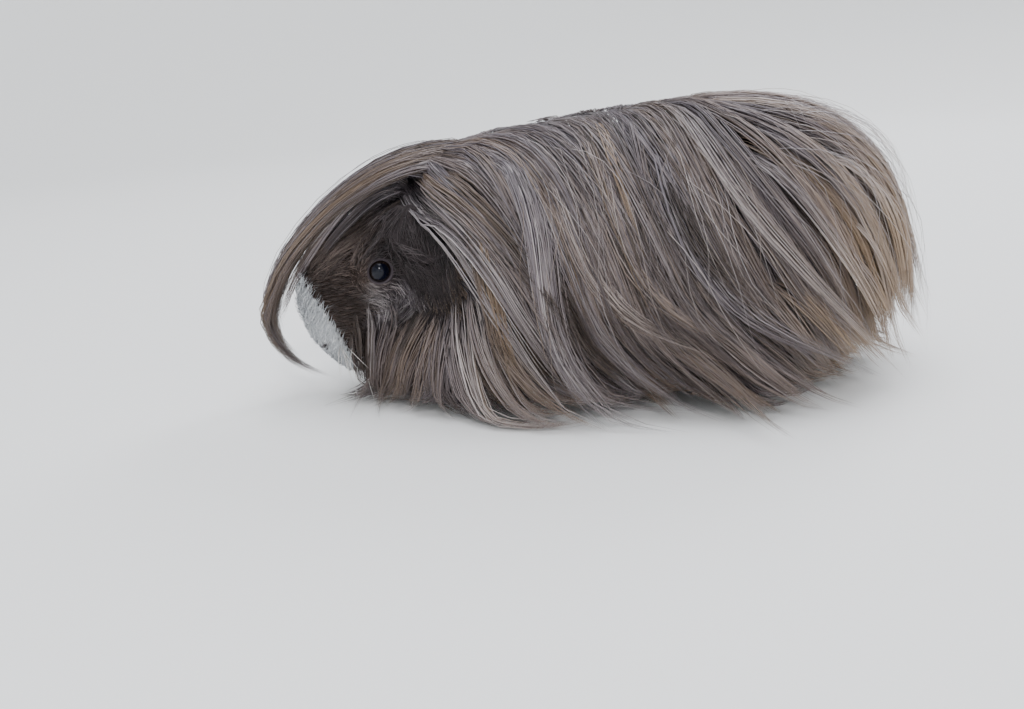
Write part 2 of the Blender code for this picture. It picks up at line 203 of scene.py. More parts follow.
def makeCamera():
    bpy.ops.object.camera_add(location=cameraSettings["place"])
    camera = bpy.context.object
    tilt = Matrix.Rotation(radians(90 - cameraSettings["pitch"]), 3, "X")
    roll = Matrix.Rotation(radians(-cameraSettings["roll"]), 3, "Z")
    camera.rotation_euler = (tilt @ roll).to_euler()
    camera.data.sensor_width = 36
    camera.data.lens = cameraSettings["lens"]
    camera.data.clip_start = 0.01
    bpy.context.scene.camera = camera


lightSettings = {
    "world": ("e9ecef", 0.74),
    "horizon": (0.0, 0.35, 0.87),       # it brightens between these heights, from this share to full
    # name: place, aimed at, width, power in watts, colour, spread in degrees
    "overheadSoftbox": ((0.10, 0.12, 2.30), (0.0, 0.0, 0.05), 1.90, 58.0, "f4f7ff", 180),
    "frontFill": ((0.02, -0.84, 0.74), (-0.05, 0.0, 0.05), 0.18, 3.0, "fdfbff", 160),
    "rearRim": ((1.00, 1.15, 1.20), (0.0, 0.0, 0.08), 0.70, 10.0, "f6f8ff", 150),
}


def makeLights():
    world = bpy.data.worlds.new("paleStudio")
    world.use_nodes = True
    colour, strength = lightSettings["world"]
    tree = world.node_tree
    tree.nodes["Background"].inputs["Color"].default_value = linearColour(colour)
    direction = addNode(tree, "ShaderNodeTexCoord").outputs["Generated"]
    height = addNode(tree, "ShaderNodeSeparateXYZ", links={0: direction}).outputs[2]
    low, high, horizon = lightSettings["horizon"]
    bright = addRange(tree, height, low, high, strength * horizon, strength)
    tree.links.new(bright, tree.nodes["Background"].inputs["Strength"])
    bpy.context.scene.world = world
    for name in ("overheadSoftbox", "frontFill", "rearRim"):
        place, target, width, power, colour, spread = lightSettings[name]
        bpy.ops.object.light_add(type="AREA", location=place)
        lamp = bpy.context.object
        lamp.name = name
        lamp.rotation_euler = (Vector(target) - Vector(place)).to_track_quat("-Z", "Y").to_euler()
        lamp.data.shape = "SQUARE"
        lamp.data.size = width
        lamp.data.energy = power
        lamp.data.spread = radians(spread)
        lamp.data.color = linearColour(colour)[:3]


floorSettings = {"width": 4.8, "flat": 1.30, "bend": 1.00, "steepest": 0.95, "wall": 3.0, "squares": 120,
                 "colour": "f0f0ee", "grain": 0.0025, "relief": 0.0003}


def makeFloor():
    # a matt painted board, rolled, which leaves a fine orange-peel grain; it curves up all round
    settings = floorSettings
    bpy.ops.mesh.primitive_grid_add(x_subdivisions=settings["squares"], y_subdivisions=settings["squares"],
                                    size=settings["width"])
    floor = bpy.context.object
    floor.name = "floor"
    points = readPoints(floor.data)
    beyond = np.maximum(np.hypot(points[:, 0], points[:, 1]) - settings["flat"], 0)
    bend = settings["bend"]
    edge = settings["steepest"] * bend
    curve = bend - np.sqrt(bend ** 2 - np.minimum(beyond, edge) ** 2)
    points[:, 2] = curve + settings["wall"] * np.maximum(beyond - edge, 0)
    writePoints(floor.data, points)
    shadeSmooth(floor)
    material, tree = newMaterial("mattPaintedBoard")
    grain = addNoise(tree, objectPlace(tree), settings["grain"], 2.0)
    relief = {"Strength": 0.06, "Distance": settings["relief"]}
    bump = addNode(tree, "ShaderNodeBump", relief, {"Height": grain})
    addShader(tree, {"Base Color": linearColour(settings["colour"]), "Roughness": 0.75},
              {"Normal": bump.outputs[0]})
    floor.data.materials.append(material)


makeCamera()
makeLights()
makeFloor()
print("camera, lights and floor made")


# the head's own axes, from the two eyes and the slope of the head

headSettings = {"slope": 40, "eyeStation": 0.0430, "eyeUp": 0.0090}


def middleOf(node):
    low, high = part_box(node)
    return np.array((low + high) / 2)


eyePlaces = {"left": middleOf("eye_left"), "right": middleOf("eye_right")}
eyeRadius = (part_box("eye_left")[1].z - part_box("eye_left")[0].z) / 2
headLeft = unit(eyePlaces["left"] - eyePlaces["right"])
levelBack = np.array((-headLeft[1], headLeft[0], 0.0))
headSlope = radians(headSettings["slope"])
headBack = levelBack * cos(headSlope) + np.array((0, 0, sin(headSlope)))
headUp = np.array((0, 0, cos(headSlope))) - levelBack * sin(headSlope)
headAxes = np.array((headBack, headLeft, headUp))
noseTip = ((eyePlaces["left"] + eyePlaces["right"]) / 2 - headBack * headSettings["eyeStation"]
           - headUp * headSettings["eyeUp"])


def headPoint(station, side, up):
    # station runs back from the nose's tip, side out to the left and up over the head
    return noseTip + headBack * station + headLeft * side + headUp * up


def toHead(points):
    return (points - noseTip) @ headAxes.T


noseSettings = {
    "front": (0.010, 0.016),        # the shaping fades out between these stations
    "nostrilSide": 0.0078,
    "nostrilUp": 0.0002,
    "nostrilTilt": 0.35,
    "nostrilHalf": (0.0013, 0.0007),
    "nostrilDepth": 0.0022,
    "nostrilRim": (0.0006, 0.0021, 0.0008),     # its height, distance and width
    "cleft": (0.0007, 0.0005),                  # its depth and half-width
    "cleftUp": ((-0.0125, -0.0110), (-0.0010, 0.0010)),
    "mouthUp": -0.0120,
    "mouthCurve": 30,
    "mouthHalfWidth": 0.0085,
    "mouth": (0.0016, 0.0006),
    "lips": (0.0005, 0.0018, 0.0013),           # their height, distance from the mouth and width
}


# markings, and painted shade, that the skin and the coat share

markAndShadeColours = {"root": "2b2528", "slate": "686269", "silver": "bab3b3", "gold": "9e8467",
               "faceDark": "332823", "faceLight": "77675f", "earShadowDark": "171314", "earShadowLight": "4a4040",
               "blazeShade": "c0c3c6", "blaze": "f3f4f4", "nostrilShade": "4f4748"}
markAndShadeSettings = {
    # ovals on the head: how far back, out and up their middles are, and their half-sizes
    "face": ((0.034, 0.0, 0.020), (0.034, 0.040, 0.019)),
    # the ear oval is painted shade, under the mane
    "ear": ((0.060, 0.028, 0.011), (0.019, 0.016, 0.018)),
    "underEye": (-0.005, 0.0, -0.0105),     # the middle of the pale patch, from the eye
    "blazeBack": (0.0108, 0.30),            # the blaze's rear edge, and how far back it leans
    "blazeHalf": (0.0150, 0.016),           # its half-width, and the height where it narrows
    "blazeLow": -0.0165,
    "patches": 0.022,
    "fringe": (0.003, 0.006),               # how fine and how deep the ragged edges are
}


def makeMarkingsAndShade():
    # colour from the place on the skin, so a hair takes it from its root
    settings = markAndShadeSettings
    tree = bpy.data.node_groups.new("coatMarkingsAndShade", "ShaderNodeTree")
    for name, kind in (("Place", "NodeSocketVector"), ("Tone", "NodeSocketFloat"),
                       ("Along", "NodeSocketFloat"), ("Gold", "NodeSocketFloat")):
        tree.interface.new_socket(name, in_out="INPUT", socket_type=kind)
    tree.interface.new_socket("Color", in_out="OUTPUT", socket_type="NodeSocketColor")
    given = addNode(tree, "NodeGroupInput")
    place, tone, along, gold = (given.outputs[name] for name in ("Place", "Tone", "Along", "Gold"))

    def maths(operation, *values):
        constants = {i: value for i, value in enumerate(values) if isinstance(value, (int, float))}
        links = {i: value for i, value in enumerate(values) if i not in constants}
        return addNode(tree, "ShaderNodeMath", {"operation": operation, **constants}, links).outputs[0]

    def spread(value, low, high):
        return addRange(tree, value, low, high, kind="SMOOTHSTEP")

    def mixColour(factor, first, second):
        settings, links = {"data_type": "RGBA"}, {0: factor}
        for i, value in ((6, first), (7, second)):
            if isinstance(value, str):
                settings[i] = linearColour(markAndShadeColours[value])
            else:
                links[i] = value
        return addNode(tree, "ShaderNodeMix", settings, links).outputs[2]

    fromNose = addVectorMaths(tree, "SUBTRACT", place, noseTip)
    station, side, up = (addVectorMaths(tree, "DOT_PRODUCT", fromNose, axis) for axis in headAxes)
    aside = maths("ABSOLUTE", side)

    def oval(middle, halves):
        # distance from the oval's middle, 1 on its edge
        scaled = {i: maths("DIVIDE", maths("SUBTRACT", value, float(middle[i])), halves[i])
                  for i, value in enumerate((station, aside, up))}
        return addVectorMaths(tree, "LENGTH", addNode(tree, "ShaderNodeCombineXYZ", links=scaled).outputs[0])

    patches = addNoise(tree, place, settings["patches"], 1.0)
    fine, deep = settings["fringe"]
    ragged = maths("SUBTRACT", addNoise(tree, place, fine, 1.0), 0.5)
    edge = maths("MULTIPLY", ragged, deep)
    # the long coat: slate with silver and dark hairs, browner in places and at the tips, and darker near the
    # root, which is painted shade where the hair lies under other hair
    body = mixColour(spread(tone, 0.05, 0.55), "root", "slate")
    body = mixColour(spread(tone, 0.50, 1.0), body, "silver")
    browner = maths("MULTIPLY_ADD", spread(patches, 0.50, 0.70), 0.24, gold)
    browner = maths("MINIMUM", maths("MULTIPLY_ADD", along, 0.12, browner), 0.85)
    body = mixColour(browner, body, "gold")
    # painted shade: the first part of each hair, near the skin, is mixed towards the dark root colour
    body = mixColour(spread(along, 0.22, 0.0), body, "root")
    # the face: dark brown from the muzzle to the eye, and on behind the eye as painted shade under the mane
    face = mixColour(spread(tone, 0.15, 1.0), "faceDark", "faceLight")
    blazeEdge, blazeLean = settings["blazeBack"]
    blazeBack = maths("MULTIPLY_ADD", up, blazeLean, blazeEdge)
    beside = spread(maths("SUBTRACT", station, blazeBack), 0.018, 0.008)
    onFace = spread(maths("MULTIPLY_ADD", ragged, 0.36, oval(*settings["face"])), 1.25, 0.85)
    colour = mixColour(maths("MAXIMUM", onFace, beside), body, face)
    # painted shade: nearly black round the ears, where the mane overhangs
    earShadow = spread(maths("MULTIPLY_ADD", ragged, 0.36, oval(*settings["ear"])), 1.25, 0.80)
    colour = mixColour(earShadow, colour, mixColour(tone, "earShadowDark", "earShadowLight"))
    # a paler patch under each eye
    middle = toHead(eyePlaces["left"] + np.array(settings["underEye"]))
    nearPatch = spread(maths("ADD", oval(middle, (1.0, 2.0, 1.0)), edge), 0.0070, 0.0015)
    colour = mixColour(maths("MULTIPLY", nearPatch, 0.55), colour, "silver")
    # the blaze: the front of the muzzle, narrow at the top
    inside = maths("SUBTRACT", maths("ADD", blazeBack, edge), station)
    halfWidth, narrowAbove = settings["blazeHalf"]
    narrower = maths("MAXIMUM", maths("SUBTRACT", up, narrowAbove), 0.0)
    across = maths("SUBTRACT", maths("ADD", maths("SUBTRACT", halfWidth, narrower), edge), aside)
    low = maths("SUBTRACT", up, settings["blazeLow"])
    blaze = spread(maths("MINIMUM", maths("MINIMUM", inside, across), low), 0.0, 0.0014)
    colour = mixColour(blaze, colour, mixColour(spread(tone, 0.10, 0.75), "blazeShade", "blaze"))
    # painted shade: darker grey in and round each nostril, where the openings are
    nostrilShade = oval((0.0, noseSettings["nostrilSide"], noseSettings["nostrilUp"]), (2.0, 1.0, 2 / 3))
    colour = mixColour(spread(nostrilShade, 0.0030, 0.0016), colour, "nostrilShade")
    addNode(tree, "NodeGroupOutput", links={0: colour})
    return tree


coatMarkingsAndShade = makeMarkingsAndShade()


# the skin: head, body, ears and legs as one closed shape inside the coat

skinSettings = {
    # place and half-sizes of the forms under the coat
    "body": ((0.030, 0.0, 0.0585), (0.088, 0.0455, 0.0455)),
    "haunches": ((0.070, 0.0, 0.050), (0.048, 0.0450, 0.0400)),
    "back": ((0.050, 0.0, 0.0840), (0.062, 0.0200, 0.0260)),
    "withers": ((-0.010, 0.0, 0.0800), (0.052, 0.0180, 0.0265)),
    "shoulders": ((-0.028, 0.0, 0.055), (0.046, 0.0380, 0.0430)),
    "neck": ((-0.050, -0.002, 0.060), (0.034, 0.0270, 0.0320)),
    "headForm": ((0.043, 0, 0.003), (0.058, 0.036, 0.036)),     # in the head's own axes
    "voxel": 0.0010,
    # how deep the coat is over the head, by distance from the nose's tip
    "headDepth": ((0.0, 0.010, 0.022, 0.040, 0.058, 0.075, 0.090),
                  (0.0008, 0.0014, 0.0023, 0.0038, 0.0062, 0.0115, 0.0165)),
    "earRoot": (0.0630, 0.0225, 0.0235),
    "earDroop": (0.05, 0.62, -0.80),
    "earLength": 0.030,
    "earWidth": 0.021,
    "earThickness": 0.0030,
    "earBack": (0.93, 0.08),        # the ear's width runs back, and a little up
    "earBow": 0.0045,
    "earCup": 0.0032,
}
lidSettings = {
    # distance from the eye's axis, and how far out from the eye's middle the skin is there
    "profile": ((0.0, 0.0040, 0.0044, 0.0047, 0.0051, 0.0057, 0.0068, 0.0082, 0.0095),
                (-0.0030, 0.0000, 0.0018, 0.0027, 0.0030, 0.0028, 0.0019, 0.0008, -0.0002)),
    "fine": 0.0095,
    "blend": (0.0080, 0.0105),
    "oval": 0.10,                   # how much wider than high the opening is
    "behind": -0.012,
    "brow": (0.0005, 0.004),        # the upper lid stands out by this much, from this high up
    "crease": (0.0004, 0.0070, 0.0005),         # its depth, distance and width
    "bare": (0.0066, 0.0058),       # no fur colour nearer the eye's middle than this
}


def addBall(place, radii, axes=((1, 0, 0), (0, 1, 0), (0, 0, 1)), segments=48, rings=32):
    selectOnly()
    bpy.ops.mesh.primitive_uv_sphere_add(segments=segments, ring_count=rings, radius=1)
    ball = bpy.context.object
    editWhole(ball, lambda: bpy.ops.transform.resize(value=tuple(radii)))
    writePoints(ball.data, readPoints(ball.data) @ np.array(axes) + np.array(place))
    editWhole(ball, lambda: bpy.ops.mesh.normals_make_consistent(inside=False))
    return ball


def makeHeadForm():
    # a ball pulled onto the head's outline, then drawn in by the depth of the fur
    place, radii = skinSettings["headForm"]
    form = addBall(headPoint(*place), radii, headAxes, 128, 96)
    applyModifier(form, "SHRINKWRAP", target=frame["nodes"]["head"], wrap_method="NEAREST_SURFACEPOINT")
    applyModifier(form, "SMOOTH", factor=0.5, iterations=12)
    points = readPoints(form.data)
    depth = np.interp(toHead(points)[:, 0], *skinSettings["headDepth"])
    writePoints(form.data, points - readVectors(form.data, "normal") * depth[:, None])
    return form


def makeEarForm(sign):
    # a drooping petal, bowed outwards
    settings = skinSettings
    station, side, up = settings["earRoot"]
    root = headPoint(station, sign * side, up)
    droop = unit(np.array(settings["earDroop"]) * (1, sign, 1) @ headAxes)
    back, rise = settings["earBack"]
    across = headBack * back + headUp * rise
    across = unit(across - droop * np.dot(across, droop))
    axes = np.array((across, np.cross(across, droop) * sign, droop))
    width, length = settings["earWidth"], settings["earLength"]
    ear = addBall(root + droop * length / 2, (width / 2, settings["earThickness"] / 2, length / 2), axes)
    points = readPoints(ear.data)
    wide, _, low = ((points - root) @ axes.T).T
    bow = settings["earBow"] * np.sin(pi * 0.8 * np.clip(low / length, 0, 1))
    bow -= settings["earCup"] * (wide / width * 2) ** 2
    writePoints(ear.data, points + axes[1] * bow[:, None])
    return ear


def copyNode(name):
    # a CAD node is loose triangles, so its copy is merged first
    piece = frame["nodes"][name].copy()
    piece.data = frame["nodes"][name].data.copy()
    piece.parent = None
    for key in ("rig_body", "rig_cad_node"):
        if key in piece:
            del piece[key]
    bpy.context.scene.collection.objects.link(piece)
    piece.data.materials.clear()
    editWhole(piece, lambda: bpy.ops.mesh.remove_doubles(threshold=0.00001))
    return piece


def refineNear(piece, places, reach, cuts):
    # split the faces near these places
    points = readPoints(piece.data)
    near = np.min([np.linalg.norm(points - place, axis=1) for place in places], 0) < reach
    selectOnly(piece)
    bpy.ops.object.mode_set(mode="EDIT")
    bpy.ops.mesh.select_mode(type="VERT")
    bpy.ops.mesh.select_all(action="DESELECT")
    bpy.ops.object.mode_set(mode="OBJECT")
    piece.data.vertices.foreach_set("select", near)
    bpy.ops.object.mode_set(mode="EDIT")
    bpy.ops.mesh.select_mode(type="FACE")
    bpy.ops.mesh.subdivide(number_cuts=cuts, smoothness=0.0)
    bpy.ops.mesh.select_mode(type="VERT")
    bpy.ops.object.mode_set(mode="OBJECT")


def shapeLids(points):
    # the skin rises to a rounded rim round each eye and passes behind the eyeball
    settings = lidSettings
    browRise, browUp = settings["brow"]
    creaseDepth, creaseAt, creaseWidth = settings["crease"]
    for sign, place in zip((1, -1), eyePlaces.values()):
        axis = headLeft * sign
        offset = points - place
        height = offset @ axis
        flat = offset - height[:, None] * axis
        upward = flat @ headUp
        distance = np.sqrt((flat ** 2).sum(1) + settings["oval"] * upward ** 2)
        weight = (1 - smoothStep(*settings["blend"], distance)) * (height > settings["behind"])
        target = np.interp(distance, *settings["profile"])
        target += browRise * smoothStep(0, browUp, upward) * (distance > browUp)
        target -= creaseDepth * bell(distance - creaseAt, creaseWidth)
        points = points + axis * ((target - height) * weight)[:, None]
    return points


def shapeNose(points):
    # nostrils, the cleft between them and the lip, and the line of the mouth
    settings = noseSettings
    station, side, up = toHead(points).T
    dent = np.zeros(len(points))
    halfWidth, halfHeight = settings["nostrilHalf"]
    rimHeight, rimAt, rimWidth = settings["nostrilRim"]
    for sign in (1, -1):
        across = side - sign * settings["nostrilSide"]
        rise = up - settings["nostrilUp"] - settings["nostrilTilt"] * sign * across
        dent += settings["nostrilDepth"] * bell(across, halfWidth) * bell(rise, halfHeight)
        dent -= rimHeight * bell(np.hypot(across, rise) - rimAt, rimWidth)
    depth, width = settings["cleft"]
    lowest, highest = settings["cleftUp"]
    dent += depth * bell(side, width) * smoothStep(*lowest, up) * (1 - smoothStep(*highest, up))
    depth, width = settings["mouth"]
    corner = settings["mouthHalfWidth"]
    fromMouth = up - settings["mouthUp"] + settings["mouthCurve"] * side ** 2
    dent += depth * bell(fromMouth, width) * (1 - smoothStep(corner - 0.001, corner + 0.001, np.abs(side)))
    height, apart, width = settings["lips"]
    lips = bell(fromMouth - apart, width) + bell(fromMouth + apart, width)
    dent -= height * lips * (np.abs(side) < corner)
    front = 1 - smoothStep(*settings["front"], station)
    return points + headBack * (dent * front)[:, None]


def makeSkinMaterial():
    # skin under thick fur: soft, matt and pored, with a fine nap of down in the coat's colours
    material, tree = newMaterial("furredSkin")
    place = objectPlace(tree)
    down = addNoise(tree, place, 0.0012, 4.0, 0.65)
    tone = addRange(tree, down, 0.3, 0.7, 0.05, 0.45)
    marks = addNode(tree, "ShaderNodeGroup", {"node_tree": coatMarkingsAndShade})
    # the down takes part of the hairs' painted root shade
    marks.inputs["Along"].default_value = 0.12
    tree.links.new(place, marks.inputs["Place"])
    tree.links.new(tone, marks.inputs["Tone"])
    colour = marks.outputs[0]
    for eyePlace in eyePlaces.values():         # bare grey lids
        bare = addRange(tree, addVectorMaths(tree, "DISTANCE", place, eyePlace), *lidSettings["bare"])
        colour = addNode(tree, "ShaderNodeMix", {"data_type": "RGBA", 7: linearColour("433c40")},
                         {0: bare, 6: colour}).outputs[2]
    bump = addNode(tree, "ShaderNodeBump", {"Strength": 0.5, "Distance": 0.0004}, {"Height": down})
    addShader(tree, {"Roughness": 0.72, "IOR": 1.4, "Specular IOR Level": 0.35},
              {"Base Color": colour, "Normal": bump.outputs[0]})
    return material


bodyForms = ("body", "haunches", "back", "withers", "shoulders", "neck")


def makeSkin():
    forms = [addBall(*skinSettings[name]) for name in bodyForms]
    forms.append(makeHeadForm())
    forms += [makeEarForm(1), makeEarForm(-1)]
    forms += [copyNode(name) for name in ("foreleg_left", "foreleg_right", "hindleg_left", "hindleg_right")]
    selectOnly(*forms)
    bpy.ops.object.join()
    skin = bpy.context.object
    skin.name = "skin"
    skin.data.name = "skin"
    applyModifier(skin, "REMESH", mode="VOXEL", voxel_size=skinSettings["voxel"])
    applyModifier(skin, "SMOOTH", factor=0.5, iterations=5)
    refineNear(skin, eyePlaces.values(), lidSettings["fine"], 3)
    refineNear(skin, [headPoint(0.003, 0, -0.005)], 0.014, 2)
    points = shapeNose(shapeLids(readPoints(skin.data)))
    points[:, 2] = np.maximum(points[:, 2], 0.0)
    writePoints(skin.data, points)
    skin.data.materials.append(makeSkinMaterial())
    shadeSmooth(skin)
    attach(skin, "root")
    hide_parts("head", "neck", "shoulders", "trunk", "rump", "ruff", "ear_left", "ear_right",
                "foreleg_left", "foreleg_right", "hindleg_left", "hindleg_right")
    return skin


skin = makeSkin()
print("skin made:", len(skin.data.polygons), "faces")


# eyes

eyeSettings = {"cornea": 0.00040, "corneaWidth": 0.0032}


def makeEyeMaterial(word, axis):
    # a wet, nearly black eye: a thin dark brown iris round a wide pupil, whose blue tint is a painted
    # reflection
    material, tree = newMaterial("wetEye_" + word)
    offset = addVectorMaths(tree, "SUBTRACT", objectPlace(tree), eyePlaces[word])
    outward = addVectorMaths(tree, "DOT_PRODUCT", offset, axis)
    streaks = addNoise(tree, offset, 0.0009, 3.0)
    wobble = addNode(tree, "ShaderNodeMath", {"operation": "MULTIPLY_ADD", 1: 0.0004},
                     {0: streaks, 2: outward}).outputs[0]
    inwards = addRange(tree, wobble, 0.0018, eyeRadius + 0.0006)
    colour = addRamp(tree, inwards, (0.0, "1d1512"), (0.40, "1b130f"), (0.62, "080b18"))
    addShader(tree, {"Roughness": 0.04, "IOR": 1.36, "Specular IOR Level": 0.40, "Coat Weight": 0.06,
                     "Coat Roughness": 0.02}, {"Base Color": colour})
    return material


def makeEye(word, sign):
    # an eyeball with its cornea raised a little at the front
    axis = headLeft * sign
    eye = addBall(eyePlaces[word], (eyeRadius,) * 3, segments=64, rings=48)
    eye.name = "eyeball_" + word
    points = readPoints(eye.data)
    offset = points - eyePlaces[word]
    height = offset @ axis
    across = np.linalg.norm(offset - height[:, None] * axis, axis=1)
    rise = eyeSettings["cornea"] * bell(across, eyeSettings["corneaWidth"]) * (height > 0)
    writePoints(eye.data, points + axis * rise[:, None])
    eye.data.materials.append(makeEyeMaterial(word, axis))
    shadeSmooth(eye)
    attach(eye, "root")
    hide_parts("eye_" + word)


makeEye("left", 1)
makeEye("right", -1)
print("eyes made")


# claws keep their CAD solids

def makeClawMaterial():
    # keratin, grown in fine rings: translucent brown horn, a little shiny
    material, tree = newMaterial("clawKeratin")
    rings = addNode(tree, "ShaderNodeTexWave", {"Scale": 1 / 0.0012, "Distortion": 1.5, "Detail": 1.0},
                    {"Vector": objectPlace(tree)}).outputs[1]
    colour = addRamp(tree, rings, (0.0, "5f4c3d"), (1.0, "a08a74"))
    bump = addNode(tree, "ShaderNodeBump", {"Strength": 0.3, "Distance": 0.0001}, {"Height": rings})
    addShader(tree, {"Roughness": 0.35, "IOR": 1.54}, {"Base Color": colour, "Normal": bump.outputs[0]})
    return material


clawKeratin = makeClawMaterial()
for name, node in frame["nodes"].items():
    if name.startswith("claw_"):
        node.data.materials.clear()
        node.data.materials.append(clawKeratin)


# the space between the skin and the outline of the coat, in lines that run round the body

shellSettings = {
    "rearX": 0.0512,        # the hair fans out to the rear from here
    "frontX": -0.0500,      # and to the front from here
    "centreHeight": 0.030,
    "rearSpread": 0.080,    # metres round the rear for each radian
    "frontSpread": 0.050,
    "columns": 181,
    "angles": (-38, 90, 65),
    "smoothing": 3,
    "hemHeight": 0.0025,
}
rearEnd = shellSettings["rearSpread"] * pi / 2
sideEnd = rearEnd + shellSettings["rearX"] - shellSettings["frontX"]
frontEnd = sideEnd + shellSettings["frontSpread"] * pi / 2
roundKnots = (-frontEnd, -sideEnd, -rearEnd, rearEnd, sideEnd, frontEnd)
centreKnots = [shellSettings[name] for name in ("frontX", "frontX", "rearX", "rearX", "frontX", "frontX")]
headingKnots = (-pi, -pi / 2, -pi / 2, pi / 2, pi / 2, pi)


def treeOf(nodes):
    points, faces = [], []
    for node in nodes:
        start = len(points)
        points += [tuple(v.co) for v in node.data.vertices]
        faces += [[start + i for i in face.vertices] for face in node.data.polygons]
    return BVHTree.FromPolygons(points, faces)


outlineTree = treeOf([frame["nodes"][name] for name in
                      ("head", "neck", "shoulders", "trunk", "rump", "ruff", "ear_left", "ear_right")])
skinTree = treeOf([skin])
roundGrid = np.linspace(-frontEnd, frontEnd, shellSettings["columns"])
angleGrid = np.radians(np.linspace(*shellSettings["angles"]))


def columnAt(s):
    # where a line starts on the body's axis, and its heading seen from above
    return np.interp(s, roundKnots, centreKnots), np.interp(s, roundKnots, headingKnots)


def directionAt(heading, angle):
    return np.stack((np.cos(angle) * np.cos(heading), np.cos(angle) * np.sin(heading), np.sin(angle)), -1)


def castShell(tree):
    # distance from the axis to the outermost surface, for each line and angle
    outside = 0.4
    reach = np.zeros((len(roundGrid), len(angleGrid)))
    xs, headings = columnAt(roundGrid)
    for i, (x, heading) in enumerate(zip(xs, headings)):
        centre = Vector((x, 0, shellSettings["centreHeight"]))
        for j, angle in enumerate(angleGrid):
            ray = Vector(directionAt(heading, angle))
            hit = tree.ray_cast(centre + ray * outside, -ray)
            reach[i, j] = outside - hit[3] if hit[0] else np.nan
    return reach


def fillGaps(reach):
    for row in reach:
        known = ~np.isnan(row)
        row[~known] = np.interp(angleGrid[~known], angleGrid[known], row[known])
    return reach


def smoothGrid(grid, times):
    for _ in range(times):
        for axis in (0, 1):
            padded = np.pad(grid, [(1, 1) if i == axis else (0, 0) for i in range(2)], mode="edge")
            before = np.take(padded, range(0, grid.shape[axis]), axis)
            after = np.take(padded, range(2, grid.shape[axis] + 2), axis)
            grid = (before + 2 * grid + after) / 4
    return grid


def levelHem(outer):
    # find the hem on each line, and let the outline drop from it to the floor
    low = np.zeros(len(roundGrid))
    height = shellSettings["centreHeight"]
    for i, row in enumerate(outer):
        across = row * np.cos(angleGrid)
        below = angleGrid < radians(15)
        j = int(np.argmax(np.where(below, across, 0)))
        low[i] = -np.arctan2(height - shellSettings["hemHeight"], across[j])
        drop = angleGrid < angleGrid[j]
        straight = across[j] / np.cos(angleGrid[drop])
        toFloor = (height - 0.001) / np.maximum(-np.sin(angleGrid[drop]), 1e-3)
        row[drop] = np.minimum(straight, np.where(angleGrid[drop] < 0, toFloor, 1))
    return low


outerReach = fillGaps(castShell(outlineTree))
hemAngles = levelHem(outerReach)
outerReach = smoothGrid(outerReach, shellSettings["smoothing"])
innerReach = smoothGrid(fillGaps(castShell(skinTree)), shellSettings["smoothing"])
innerReach = np.minimum(innerReach, outerReach - 0.003)
padHem = np.pad(hemAngles, 4, mode="edge")
hemAngles = np.convolve(padHem, np.ones(9) / 9, mode="valid")


def sampleGrid(grid, s, angle):
    i = np.clip((s - roundGrid[0]) / (roundGrid[1] - roundGrid[0]), 0, len(roundGrid) - 1.001)
    j = np.clip((angle - angleGrid[0]) / (angleGrid[1] - angleGrid[0]), 0, len(angleGrid) - 1.001)
    i0, j0 = i.astype(int), j.astype(int)
    fi, fj = i - i0, j - j0
    first = grid[i0, j0] * (1 - fi) + grid[i0 + 1, j0] * fi
    second = grid[i0, j0 + 1] * (1 - fi) + grid[i0 + 1, j0 + 1] * fi
    return first * (1 - fj) + second * fj


def shellPoint(s, angle, depth):
    # depth is 0 on the skin and 1 on the coat's outline
    inner, outer = sampleGrid(innerReach, s, angle), sampleGrid(outerReach, s, angle)
    x, heading = columnAt(s)
    ray = directionAt(heading, angle)
    centre = np.stack((x, np.zeros_like(x), np.full_like(x, shellSettings["centreHeight"])), -1)
    return centre + ray * (inner + depth * (outer - inner))[..., None], ray


gridS, gridA = np.meshgrid(roundGrid, angleGrid, indexing="ij")
outlinePoints = shellPoint(gridS, gridA, np.ones_like(gridS))[0]
slopeS, slopeA = np.gradient(outlinePoints, roundGrid, angleGrid, axis=(0, 1))
stretchS = np.maximum(np.linalg.norm(slopeS, axis=-1), 0.22)
stretchA = np.maximum(np.linalg.norm(slopeA, axis=-1), 0.010)
print("coat space measured")


# strands: closed three-sided tapering tubes, many in a mesh

def strandPattern(rings):
    # one strand's faces: a root cap, three sides in each stretch, and a pointed tip
    faces = [(0, 1, 2)]
    for r in range(rings - 2):
        for a, b in ((0, 1), (1, 2), (2, 0)):
            faces.append((3 * r + a, 3 * r + 3 + a, 3 * r + 3 + b, 3 * r + b))
    last, tip = 3 * (rings - 2), 3 * (rings - 1)
    faces += [(last + a, tip, last + b) for a, b in ((0, 1), (1, 2), (2, 0))]
    return faces


def skinUnwrap(points):
    # the skin unrolled round the body's axis: along the body, and round it
    low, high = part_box("head")[0].x - 0.01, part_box("rump")[1].x + 0.01
    along = (points[..., 0] - low) / (high - low)
    turn = np.arctan2(points[..., 1], points[..., 2] - 0.045) / (2 * pi)
    return np.stack((0.02 + 0.96 * np.clip(along, 0, 1), 0.5 + 0.96 * turn), -1)


strandSettings = {
    "patch": 0.003,             # the side of a strand's patch on the unwrap
    "goldStretch": (0.30, 0.85),        # where the change towards the tip begins and is complete
    # the tips lighten with their gold, a painted highlight, and darken where the change is negative, a
    # painted shade
    "tipPaintedLight": 0.7,           # how much lighter the hair gets where it gets more golden
}


